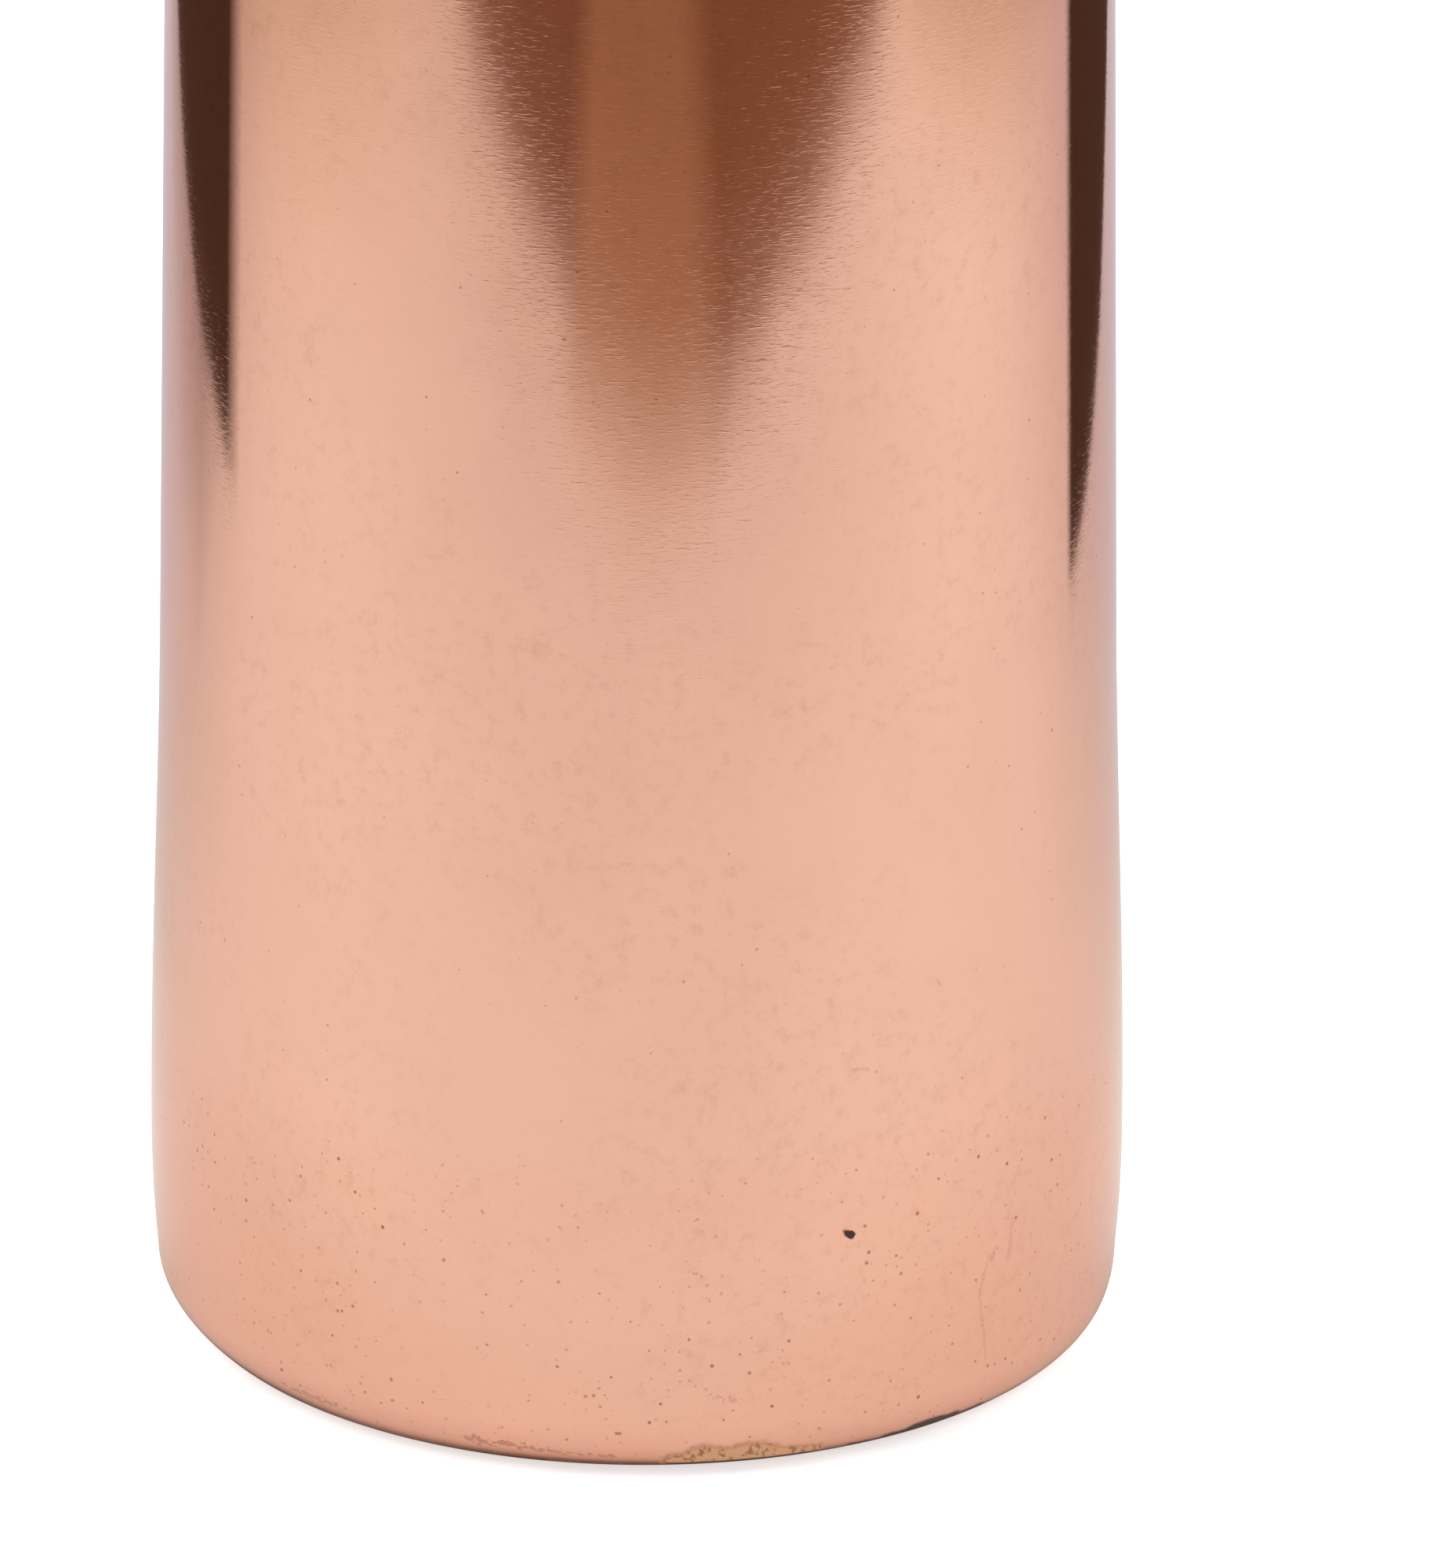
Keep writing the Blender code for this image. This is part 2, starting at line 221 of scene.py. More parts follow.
def mark_group():
    """A mark along a straight stroke, with a ragged edge; a stroke of no length makes a round mark."""
    inputs = {
        "Place": ("Vector", None),
        "Start": ("Vector", None),
        "End": ("Vector", None),
        "Radius": ("Float", 0.0005),
        "Ragged": ("Float", 0.0003),
        "Grain": ("Float", 0.0006),
    }
    tree, given, out = new_group("ragged mark", "ShaderNodeTree", inputs, {"Mask": "Float"})

    def vectors(operation, *values):
        return add(tree, "ShaderNodeVectorMath", dict(enumerate(values)), operation=operation)

    stroke = vectors("SUBTRACT", given["End"], given["Start"]).outputs[0]
    offset = vectors("SUBTRACT", given["Place"], given["Start"]).outputs[0]
    along = vectors("DOT_PRODUCT", offset, stroke).outputs["Value"]
    length = vectors("DOT_PRODUCT", stroke, stroke).outputs["Value"]
    never_zero = maths(tree, "MAXIMUM", length, 1e-12)
    share = maths(tree, "DIVIDE", along, never_zero, clamp=True)
    wired = {0: stroke, "Scale": share}
    nearest = add(tree, "ShaderNodeVectorMath", wired, operation="SCALE").outputs[0]
    gap = vectors("DISTANCE", offset, nearest).outputs["Value"]
    scale = maths(tree, "DIVIDE", 1.0, given["Grain"])
    noise = add(tree, "ShaderNodeTexNoise", {"Vector": given["Place"], "Scale": scale, "Detail": 3.0})
    wobble = maths(tree, "MULTIPLY", maths(tree, "SUBTRACT", noise.outputs["Fac"], 0.5), given["Ragged"])
    reach = maths(tree, "SUBTRACT", maths(tree, "ADD", given["Radius"], wobble), gap)
    soft = maths(tree, "MULTIPLY", given["Radius"], 0.4)
    tree.links.new(ramp(tree, reach, 0.0, soft), out["Mask"])
    return tree


ragged_mark = mark_group()
print("made the group", ragged_mark.name)

# %% [markdown]
# ## Copper
#
# Copper's colour is the colour of its reflections, so the metal is fully metallic and its base colour tints
# what it mirrors. The buffing lines run round the bottle and smear reflections up and down, so the shader's
# anisotropy is set along the axis. A first function makes the plain finish, and the body adds its own
# marks.

# %% Laying colours and masks over each other


def group(tree, source, **values):
    """A shader group placed in a material. Underscores in the names stand for spaces."""
    node = add(tree, "ShaderNodeGroup", node_tree=source)
    for name, value in values.items():
        label = name.replace("_", " ")
        if isinstance(value, bpy.types.NodeSocket):
            tree.links.new(value, node.inputs[label])
        else:
            node.inputs[label].default_value = value
    return node.outputs[0]


def blend(tree, mask, first, second):
    """One colour where the mask is 0 and the other where it is 1."""
    node = add(tree, "ShaderNodeMix", {"Factor": mask}, data_type="RGBA")
    for name, value in (("A", first), ("B", second)):
        socket = [s for s in node.inputs if s.name == name and s.type == "RGBA"][0]
        if isinstance(value, bpy.types.NodeSocket):
            tree.links.new(value, socket)
        else:
            socket.default_value = value
    return [s for s in node.outputs if s.type == "RGBA"][0]


def start_material(name):
    """A material with a Principled shader, and the place of each point on the piece."""
    material = bpy.data.materials.new(name)
    material.use_nodes = True
    tree = material.node_tree
    shader = tree.nodes["Principled BSDF"]
    place = add(tree, "ShaderNodeTexCoord").outputs["Object"]
    return material, tree, shader, place


def lay_over(tree, shader, mask, colour):
    """Another colour over the base colour, where the mask is 1."""
    socket = shader.inputs["Base Color"]
    under = socket.links[0].from_socket
    tree.links.new(blend(tree, mask, under, colour), socket)


print("ready to mix finishes")

# %% A copper finish

COPPER = (0.841, 0.463, 0.340, 1.0)
PLAIN_COPPER = (0.80, 0.40, 0.26, 1.0)
TARNISH = (0.33, 0.115, 0.055, 1.0)
POLISH = {"roughness": 0.042, "stretch": 1.0, "line_depth": 1.25e-6}
PLAIN = {"roughness": 0.22, "stretch": 0.6, "line_depth": 6e-6}


def copper_material(name, colour, roughness, stretch, line_depth):
    """Turned copper: lines round the axis, a faint cloud, smears of handling and a few fine specks."""
    material, tree, shader, place = start_material(name)
    shader.inputs["Metallic"].default_value = 1.0
    shader.inputs["Anisotropic"].default_value = stretch
    shader.inputs["Anisotropic Rotation"].default_value = 0.25
    tangent = add(tree, "ShaderNodeTangent", direction_type="RADIAL", axis="Z")
    tree.links.new(tangent.outputs[0], shader.inputs["Tangent"])
    cloud = group(tree, blotches, Place=place, Patch_Size=0.012, Threshold=0.3, Softness=0.45)
    darker = [channel * 0.965 for channel in colour[:3]] + [1.0]
    tint = blend(tree, cloud, colour, darker)
    tree.links.new(tint, shader.inputs["Base Color"])
    grain = {"Patch_Size": 0.0013, "Threshold": 0.47, "Softness": 0.3, "Roughness": 0.75}
    smears = group(tree, blotches, Place=place, **grain)
    handled = group(tree, blotches, Place=place, Patch_Size=0.03, Threshold=0.36, Softness=0.25)
    smears = maths(tree, "MULTIPLY", maths(tree, "MULTIPLY", smears, handled), 0.2)
    lay_over(tree, shader, smears, TARNISH)
    dots = group(tree, specks, Place=place, Cells_Per_Metre=900.0, Share_Of_Cells=0.35, Size=0.17)
    lay_over(tree, shader, maths(tree, "MULTIPLY", dots, 0.6), TARNISH)
    lines = {"Line_Length": 0.0008, "Line_Spacing": 0.00015, "Bareness": 0.5}
    fine = group(tree, polishing_lines, Place=place, **lines)
    lines = {"Line_Length": 0.0016, "Line_Spacing": 0.00024, "Bareness": 0.6}
    bold = group(tree, polishing_lines, Place=place, **lines)
    cuts = maths(tree, "MULTIPLY_ADD", bold, 1.5, fine)
    rough = maths(tree, "MULTIPLY_ADD", cloud, 0.02, roughness)
    tree.links.new(rough, shader.inputs["Roughness"])
    bump = add(tree, "ShaderNodeBump", {"Height": cuts, "Distance": line_depth})
    tree.links.new(bump.outputs[0], shader.inputs["Normal"])
    return material


polished = copper_material("polished_copper", COPPER, **POLISH)
plain = copper_material("plain_copper", PLAIN_COPPER, **PLAIN)
print("made", polished.name, "and", plain.name)

# %% [markdown]
# ## The body's own marks
#
# The body has stood on shelves and been knocked a little: it has a pit, a thin scratch, a dust of specks
# low down, brown tarnish where the wall turns under, and a smear of braze that ran out over the base
# corner. Strokes of painted shade darken the corner's lowest edge, where it meets the table. Most marks
# could be scattered by chance, but the few large ones are listed one by one, as strokes with a start and an
# end.

# %% Strokes of tarnish, painted shade and braze

PIT = (0.035, 0.008, 0.006, 1.0)
BLUSH = (0.80, 0.22, 0.14, 1.0)
BRAZE_TAN = (0.51, 0.27, 0.135, 1.0)
BRAZE_BROWN = (0.27, 0.11, 0.055, 1.0)
# Painted shade: the dark of the gap under the base corner, laid on the corner's lowest edge.
CONTACT_SHADE = (0.035, 0.012, 0.008, 1.0)
# The pit: start, end, radius, raggedness and grain in millimetres.
PIT_STROKE = ((16.0, -33.9, 19.5), (16.3, -33.7, 19.4), 0.42, 0.75, 0.8)
# The smear of braze: start, end and radius.
BRAZE_STROKES = [
    ((3.4, -35.7, 1.0), (5.0, -35.5, 1.3), 1.7),
    ((5.0, -35.5, 1.3), (9.6, -34.6, 1.3), 2.15),
    ((9.6, -34.6, 1.2), (13.3, -33.1, 0.8), 1.5),
]
# Each stroke of tarnish or of painted shade: the same values as the pit's, then its strength.
TARNISH_STROKES = [
    ((-26.5, -24.8, 3.0), (-22.0, -29.0, 2.9), 0.2, 3.0, 0.5, 0.6),
    ((-12.4, -34.0, 2.8), (-6.8, -35.4, 2.4), 0.3, 3.4, 0.5, 0.75),
    ((-6.8, -35.4, 2.4), (-1.5, -35.7, 2.0), 0.1, 2.8, 0.45, 0.7),
    ((-20.0, -30.6, 2.4), (-13.0, -34.0, 2.3), 0.0, 2.4, 0.45, 0.6),
    ((-1.0, -35.9, 1.5), (3.5, -35.7, 1.5), 0.2, 1.6, 0.4, 0.8),
    ((27.4, -25.8, 15.1), (27.1, -26.0, 14.2), 0.26, 0.8, 0.4, 0.36),
    ((26.6, -26.4, 13.7), (26.1, -26.8, 11.5), 0.2, 0.6, 0.4, 0.3),
    ((26.1, -26.8, 11.5), (26.8, -25.8, 5.9), 0.17, 0.5, 0.4, 0.27),
    ((28.4, -24.5, 13.9), (28.6, -24.3, 16.4), 0.3, 1.0, 0.4, 0.26),
    ((-1.25, -36.9, 4.4), (-1.0, -36.95, 4.4), 0.17, 0.3, 0.3, 0.85),
    ((-18.5, -32.2, 4.9), (-18.2, -32.3, 5.0), 0.16, 0.3, 0.3, 0.7),
    ((-15.2, -33.8, 5.7), (-14.2, -34.3, 6.0), 0.06, 0.3, 0.4, 0.35),
    ((-11.4, -35.7, 22.0), (-11.3, -35.7, 21.8), 0.14, 0.3, 0.3, 0.6),
    ((5.9, -36.8, 7.4), (8.0, -36.4, 6.9), 0.1, 2.2, 0.3, 0.35),
    ((16.3, -33.4, 32.6), (17.6, -32.8, 32.4), 0.06, 0.3, 0.4, 0.3),
    ((22.7, -29.2, 38.2), (22.9, -29.0, 37.6), 0.1, 0.2, 0.4, 0.4),
]
# Strokes of painted shade along the lowest edge of the base corner, most of them on its front right.
CONTACT_SHADE_STROKES = [
    ((13.6, -31.9, 0.9), (16.8, -30.5, 0.95), 0.55, 0.5, 0.6, 0.85),
    ((16.3, -30.9, 1.2), (16.5, -30.8, 1.2), 0.7, 0.5, 0.6, 0.85),
    ((16.8, -30.5, 0.95), (19.1, -29.2, 0.95), 0.75, 0.5, 0.7, 0.92),
    ((19.1, -29.2, 0.95), (20.6, -28.25, 1.0), 1.2, 0.5, 0.8, 0.96),
    ((21.0, -28.0, 1.05), (22.6, -26.95, 1.1), 1.7, 0.5, 0.8, 0.97),
    ((22.6, -26.95, 1.1), (23.9, -25.9, 1.15), 1.35, 0.5, 0.8, 0.96),
    ((23.9, -25.9, 1.15), (26.0, -23.8, 1.2), 0.95, 0.5, 0.7, 0.92),
    ((26.0, -23.8, 1.2), (29.1, -20.5, 1.4), 0.6, 0.5, 0.6, 0.7),
    ((-6.0, -33.7, 0.75), (-1.0, -34.2, 0.72), 0.6, 0.5, 0.6, 0.85),
    ((-1.0, -34.2, 0.72), (4.5, -34.2, 0.82), 0.5, 0.5, 0.6, 0.85),
]


def stroke(tree, place, start, end, radius, ragged, grain):
    """A ragged mark from start to end, all in millimetres."""
    values = {"Radius": radius * MM, "Ragged": ragged * MM, "Grain": grain * MM}
    ends = {"Start": [v * MM for v in start], "End": [v * MM for v in end]}
    return group(tree, ragged_mark, Place=place, **ends, **values)


def all_strokes(tree, place, strokes):
    """One mask for a list of strokes."""
    marks = 0.0
    for start, end, radius, ragged, grain, strength in strokes:
        mask = stroke(tree, place, start, end, radius, ragged, grain)
        marks = maths(tree, "MAXIMUM", marks, maths(tree, "MULTIPLY", mask, strength))
    return marks


print("strokes laid by hand:", len(TARNISH_STROKES + CONTACT_SHADE_STROKES + BRAZE_STROKES))

# %% The body's copper


def body_material():
    """The polished finish, with the body's own marks and painted shade at its foot laid over it."""
    material = copper_material("body_copper", COPPER, **POLISH)
    tree = material.node_tree
    shader = tree.nodes["Principled BSDF"]
    place = add(tree, "ShaderNodeTexCoord").outputs["Object"]
    height = add(tree, "ShaderNodeSeparateXYZ", {0: place}).outputs["Z"]

    cloud = group(tree, blotches, Place=place, Patch_Size=0.006, Threshold=0.3, Softness=0.5)
    edge = maths(tree, "MULTIPLY_ADD", cloud, 4 * MM, height)
    low_zone = ramp(tree, edge, 29 * MM, 24 * MM)
    lay_over(tree, shader, maths(tree, "MULTIPLY", low_zone, 0.07), BLUSH)

    dust = group(tree, specks, Place=place, Cells_Per_Metre=1300.0, Share_Of_Cells=0.9, Size=0.29)
    patchy = group(tree, blotches, Place=place, Patch_Size=0.010, Threshold=0.30, Softness=0.22)
    dust = maths(tree, "MULTIPLY", maths(tree, "MULTIPLY", dust, patchy), low_zone)
    lay_over(tree, shader, maths(tree, "MULTIPLY", dust, 0.95), TARNISH)

    marks = all_strokes(tree, place, TARNISH_STROKES)
    lay_over(tree, shader, marks, TARNISH)
    # Painted shade where the base corner meets the table.
    contact_shade = all_strokes(tree, place, CONTACT_SHADE_STROKES)
    lay_over(tree, shader, contact_shade, CONTACT_SHADE)

    rim, tan = [
        all_strokes(tree, place, [(*ends, radius + wider, 1.1, 1.6, 1.0) for *ends, radius in BRAZE_STROKES])
        for wider in (0.16, 0.0)
    ]
    lay_over(tree, shader, rim, TARNISH)
    tan = maths(tree, "MULTIPLY", tan, ramp(tree, height, 0.95 * MM, 1.25 * MM))
    wired = {0: place, 1: (1.0, 0.3, 0.6)}
    runs = add(tree, "ShaderNodeVectorMath", wired, operation="MULTIPLY").outputs[0]
    grit = group(tree, blotches, Place=runs, Patch_Size=0.00045, Threshold=0.5, Softness=0.12)
    lay_over(tree, shader, tan, blend(tree, grit, BRAZE_TAN, BRAZE_BROWN))
    # Painted shade: below 1.2 mm the braze's brown rim is darkened, as the shadow where the corner meets the
    # table.
    braze_contact_shade = maths(tree, "MULTIPLY", rim, ramp(tree, height, 1.2 * MM, 0.9 * MM))
    lay_over(tree, shader, braze_contact_shade, CONTACT_SHADE)

    pit = stroke(tree, place, *PIT_STROKE)
    lay_over(tree, shader, pit, PIT)

    dull = maths(tree, "MAXIMUM", maths(tree, "MAXIMUM", marks, contact_shade), maths(tree, "MAXIMUM", rim, pit))
    tree.links.new(maths(tree, "MULTIPLY_ADD", dull, -0.85, 1.0), shader.inputs["Metallic"])
    smooth = shader.inputs["Roughness"].links[0].from_socket
    rougher = maths(tree, "MAXIMUM", smooth, maths(tree, "MULTIPLY", dull, 0.5))
    tree.links.new(rougher, shader.inputs["Roughness"])
    return material


worn = body_material()
print("made", worn.name, "with", len(worn.node_tree.nodes), "nodes")

# %% [markdown]
# ## The gasket's silicone and the braze
#
# Food-grade silicone is a milky white with a soft sheen. Braze is a paler, yellower metal than copper, left
# slightly lumpy where it froze.

# %% Silicone


def silicone_material():
    """Milky silicone with a very fine moulded grain."""
    material, tree, shader, place = start_material("silicone")
    shader.inputs["Subsurface Weight"].default_value = 0.3
    shader.inputs["Subsurface Scale"].default_value = 0.001
    haze = group(tree, blotches, Place=place, Patch_Size=0.006, Threshold=0.3, Softness=0.5)
    milky = blend(tree, haze, (0.84, 0.84, 0.80, 1), (0.75, 0.74, 0.69, 1))
    tree.links.new(milky, shader.inputs["Base Color"])
    tree.links.new(maths(tree, "MULTIPLY_ADD", haze, 0.15, 0.38), shader.inputs["Roughness"])
    noise = add(tree, "ShaderNodeTexNoise", {"Vector": place, "Scale": 4000.0})
    bump = add(tree, "ShaderNodeBump", {"Height": noise.outputs["Fac"], "Distance": 2e-5})
    tree.links.new(bump.outputs[0], shader.inputs["Normal"])
    return material


silicone = silicone_material()
print("made", silicone.name)

# %% Braze


def braze_material():
    """Pale yellow braze with a frozen, grainy skin."""
    material, tree, shader, place = start_material("braze")
    shader.inputs["Metallic"].default_value = 1.0
    dull = group(tree, blotches, Place=place, Patch_Size=0.002, Threshold=0.35, Softness=0.3)
    yellow = blend(tree, dull, (0.78, 0.58, 0.36, 1), (0.45, 0.27, 0.14, 1))
    tree.links.new(yellow, shader.inputs["Base Color"])
    tree.links.new(maths(tree, "MULTIPLY_ADD", dull, 0.25, 0.25), shader.inputs["Roughness"])
    noise = add(tree, "ShaderNodeTexNoise", {"Vector": place, "Scale": 2500.0, "Detail": 4.0})
    bump = add(tree, "ShaderNodeBump", {"Height": noise.outputs["Fac"], "Distance": 5e-5})
    tree.links.new(bump.outputs[0], shader.inputs["Normal"])
    return material


braze = braze_material()
print("made", braze.name)

# %% [markdown]
# ## A lathe made of nodes
#
# Every piece of the bottle is turned: one outline, swept once round the axis. The Screw modifier does this
# too, but a small Geometry Nodes tree shows how: it makes a grid with one column for each facet, and sends
# each grid point to its outline point, turned by its column's angle.

# %% The lathe tree

MADE = {"Geometry": "Geometry"}


def finish_tree(tree, out, geometry, material):
    """Ends a tree: what it made becomes real geometry, with the piece's material."""
    realised = add(tree, "GeometryNodeRealizeInstances", {"Geometry": geometry})
    wired = {"Geometry": realised.outputs[0], "Material": material}
    finished = add(tree, "GeometryNodeSetMaterial", wired)
    tree.links.new(finished.outputs[0], out["Geometry"])


def lathe_tree():
    """Turns an outline of points in the XZ plane into a smooth surface round Z."""
    inputs = {
        "Outline": ("Geometry", None),
        "Facets": ("Int", 256),
        "Weld Distance": ("Float", 1e-6),
        "Material": ("Material", None),
    }
    tree, given, out = new_group("turned on a lathe", "GeometryNodeTree", inputs, MADE)
    size = add(tree, "GeometryNodeAttributeDomainSize", {"Geometry": given["Outline"]})
    rows = size.outputs["Point Count"]
    columns = maths(tree, "ADD", given["Facets"], 1.0)
    grid = add(tree, "GeometryNodeMeshGrid", {"Vertices X": columns, "Vertices Y": rows})
    index = add(tree, "GeometryNodeInputIndex").outputs[0]
    row = maths(tree, "MODULO", index, rows)
    column = maths(tree, "FLOOR", maths(tree, "DIVIDE", maths(tree, "ADD", index, 0.5), rows))
    turn = maths(tree, "DIVIDE", maths(tree, "MULTIPLY", column, 2 * math.pi), given["Facets"])
    position = add(tree, "GeometryNodeInputPosition").outputs[0]
    wired = {"Geometry": given["Outline"], "Index": row, "Value": position}
    sample = add(tree, "GeometryNodeSampleIndex", wired, data_type="FLOAT_VECTOR")
    wired = {"Vector": sample.outputs["Value"], "Angle": turn}
    turned = add(tree, "ShaderNodeVectorRotate", wired, rotation_type="Z_AXIS")
    wired = {"Geometry": grid.outputs["Mesh"], "Position": turned.outputs[0]}
    placed = add(tree, "GeometryNodeSetPosition", wired)
    wired = {"Geometry": placed.outputs[0], "Distance": given["Weld Distance"]}
    welded = add(tree, "GeometryNodeMergeByDistance", wired)
    finish_tree(tree, out, welded.outputs[0], given["Material"])
    return tree


lathe = lathe_tree()
print("made the tree", lathe.name, "with", len(lathe.nodes), "nodes")

# %% [markdown]
# ## From outline to piece
#
# An outline is a list of (radius, height) pairs. Sheet metal needs a second line one wall further in, and
# the two together make a closed section. When the tree has run, its result is kept as a plain mesh.

# %% Helpers for outlines


def arc(centre, radius, start, end, steps):
    """Points along a round corner, with angles measured from the outward radius."""
    angles = [start + (end - start) * step / steps for step in range(steps + 1)]
    return [(centre[0] + radius * math.cos(a), centre[1] + radius * math.sin(a)) for a in angles]


def straight(start, end, steps):
    """Evenly spaced points along a straight line, without its first."""
    shares = [step / steps for step in range(1, steps + 1)]
    return [(start[0] + (end[0] - start[0]) * s, start[1] + (end[1] - start[1]) * s) for s in shares]


def both_sides(outer, wall):
    """A closed section of sheet: the outer side, then the same line again, one wall further in."""
    inner = []
    for index, point in enumerate(outer):
        before = outer[max(index - 1, 0)]
        after = outer[min(index + 1, len(outer) - 1)]
        across, up = after[0] - before[0], after[1] - before[1]
        length = math.hypot(across, up)
        inner.append((max(0.0, point[0] + wall * up / length), point[1] - wall * across / length))
    closing = [outer[0]] if outer[0][0] > 0 else []
    return [*outer, *reversed(inner), *closing]


print("a quarter circle in four steps has", len(arc((0, 0), 1, 0, math.pi / 2, 4)), "points")

# %% Helpers for pieces


def add_tree(piece, tree, **values):
    """A Geometry Nodes modifier on the piece, with its inputs set by their identifiers."""
    modifier = piece.modifiers.new(tree.name, "NODES")
    modifier.node_group = tree
    for item in tree.interface.items_tree:
        key = item.name.replace(" ", "_")
        if item.in_out == "INPUT" and key in values:
            modifier[item.identifier] = values[key]
    return modifier


def keep_as_mesh(piece):
    """Replaces the piece's tree with the mesh that it made, with sharp edges marked."""
    view = bpy.context.evaluated_depsgraph_get()
    mesh = bpy.data.meshes.new_from_object(piece.evaluated_get(view))
    piece.modifiers.clear()
    piece.data = mesh
    mesh.name = piece.name
    mesh.shade_smooth()
    mesh.set_sharp_from_angle(angle=math.radians(40))
    triangles = sum(len(face.vertices) - 2 for face in mesh.polygons)
    print(f"{piece.name}: {triangles} triangles")
    return piece


def start_piece(name, points):
    """An object whose mesh is the outline, as a row of points in the XZ plane."""
    mesh = bpy.data.meshes.new(name)
    mesh.from_pydata([(radius, 0.0, height) for radius, height in points], [], [])
    piece = bpy.data.objects.new(name, mesh)
    bpy.context.scene.collection.objects.link(piece)
    return piece


def hand_over(piece, node, body):
    """The piece stands for a node of the measured model and moves with its body."""
    if node:
        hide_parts(node)
    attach(piece, body)


print("ready to turn pieces")

# %% [markdown]
# ## The body
#
# The body is drawn from one disc of copper: a tube with a rounded base corner. Its widest place is just
# above that corner, where the metal was pushed outwards, and from there it tapers by about one and a half
# percent.

# %% The body's outline

body_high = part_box("body_shell")[1]
belly = body_high.x
belly_height = 15.0 * MM
corner = 5.5 * MM
foot_inset = 0.45 * MM
flat_radius = belly - foot_inset - corner
waist_height = 56.6 * MM
waist_radius = belly - 1.0 * MM
taper = 0.0149
body_top = waist_radius - taper * (body_high.z - waist_height)
wall = 0.5 * MM
lip_width = 6.5 * MM


def body_radius(height):
    """The wall's outer radius above the base corner."""
    if height < belly_height:
        share = (belly_height - height) / (belly_height - corner)
        return belly - foot_inset * share**2
    if height < waist_height:
        length = waist_height - belly_height
        share = (height - belly_height) / length
        ease = share * share * (3 - 2 * share)
        return belly - (belly - waist_radius) * ease - (share**3 - share**2) * taper * length
    return waist_radius - taper * (height - waist_height)


rows = 90
heights = [body_high.z + (corner - body_high.z) * row / rows for row in range(rows)]
body_side = [(body_radius(height), height) for height in heights]
base_corner = arc((flat_radius, corner), corner, 0, -math.pi / 2, 20)
lip_edge = (flat_radius - lip_width, 0.0)
body_outline = both_sides([*body_side, *base_corner, *straight((flat_radius, 0), lip_edge, 4)], wall)

body = start_piece("bottle_body", body_outline)
add_tree(body, lathe, Facets=320, Material=worn)
keep_as_mesh(body)

# %% The base corner's unevenness

unevenness = 0.33 * MM
# The corner was worked by hand: on one side it is rounder than on the other. Only the corner itself moves,
# so the flat under it and the wall above it keep their places.
for vertex in body.data.vertices:
    place = vertex.co
    if 0 < place.z < corner and place.length > flat_radius:
        radius = math.hypot(place.x, place.y)
        fall = math.atan2(corner - place.z, radius - flat_radius)
        side = math.sin(math.atan2(place.x, -place.y))
        push = unevenness * side * math.sin(2 * fall) ** 2
        outwards = Vector((place.x / radius, place.y / radius, 0.0)) * math.cos(fall)
        vertex.co = place + (outwards - Vector((0.0, 0.0, math.sin(fall)))) * push
body.data.update()
print("the base corner is rounder on its left by", round(2 * unevenness / MM, 2), "mm")
hand_over(body, "body_shell", "bottle")

# %% [markdown]
# ## Shoulder, neck and base plate
#
# The shoulder is spun over a former on a lathe, so a dome and a small fillet into the neck are one curve.
# The lip is flared out over the threaded collar. The base plate is a pressed disc, domed up so that the
# bottle stands on its rim.

# %% Shoulder and neck

collar_low, collar_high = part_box("neck_collar")
gap = 0.3 * MM
neck = 19.0 * MM
fillet = 5.0 * MM
turn_in = math.radians(55)
dome_foot = body_high.z + gap + 0.6 * MM
fillet_foot = neck + fillet * (1 - math.cos(turn_in))
dome = (body_top - fillet_foot) / (1 - math.cos(turn_in))
neck_foot = dome_foot + (dome + fillet) * math.sin(turn_in)
lip_under = collar_high.z + gap

dome_line = arc((body_top - dome, dome_foot), dome, turn_in, 0, 40)
fillet_line = arc((neck + fillet, neck_foot), fillet, math.pi, math.pi + turn_in, 14)
flare = arc((neck + 0.4 * MM, lip_under - 0.4 * MM), 0.4 * MM, math.pi / 2, math.pi, 5)
skirt = body_top - wall - gap
lip_tip = (20.1 * MM, lip_under)
neck_line = straight(flare[-1], fillet_line[0], 8)
skirt_top = (skirt, body_high.z + gap)
skirt_line = [skirt_top, *straight(skirt_top, (skirt, body_high.z - 6 * MM), 3)]
shoulder_line = [lip_tip, *flare, *neck_line, *fillet_line[1:], *dome_line[1:], *skirt_line]

shoulder = start_piece("bottle_shoulder", both_sides(shoulder_line, wall))
add_tree(shoulder, lathe, Facets=288, Material=polished)
hand_over(keep_as_mesh(shoulder), "shoulder_shell", "bottle")

# %% Base plate

plate_low, plate_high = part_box("base_plate")
plate_wall = 0.6 * MM
rim_top = plate_low.z + plate_wall
slope_outer = flat_radius - lip_width
slope_inner = slope_outer - 4.0 * MM
press_in = arc((slope_inner, plate_high.z - 2 * MM), 2 * MM, math.pi / 2, math.radians(41), 6)
press_out = [(slope_outer - 0.9 * MM, rim_top + 0.45 * MM), (slope_outer - 0.2 * MM, rim_top + 0.06 * MM)]
plate_line = [(0.0, plate_high.z), *straight((0.0, plate_high.z), press_in[0], 6), *press_in[1:]]
plate_line = [*plate_line, *press_out, *straight((slope_outer, rim_top), (flat_radius - gap, rim_top), 3)]

plate = start_piece("bottle_base_plate", both_sides(plate_line, plate_wall))
add_tree(plate, lathe, Facets=192, Material=plain)
hand_over(keep_as_mesh(plate), "base_plate", "bottle")

# %% [markdown]
# ## Rolled threads
#
# The collar and the ring inside the cap carry the same thread. On a lathe the ridge would be cut; here a
# second tree raises it: each point is pushed out where it lies near a helix, and the ridge fades in and out
# at its ends. Sweeping a ridge profile along a helix would leave two crossing shells instead of one.

# %% Reading and moving points round the axis


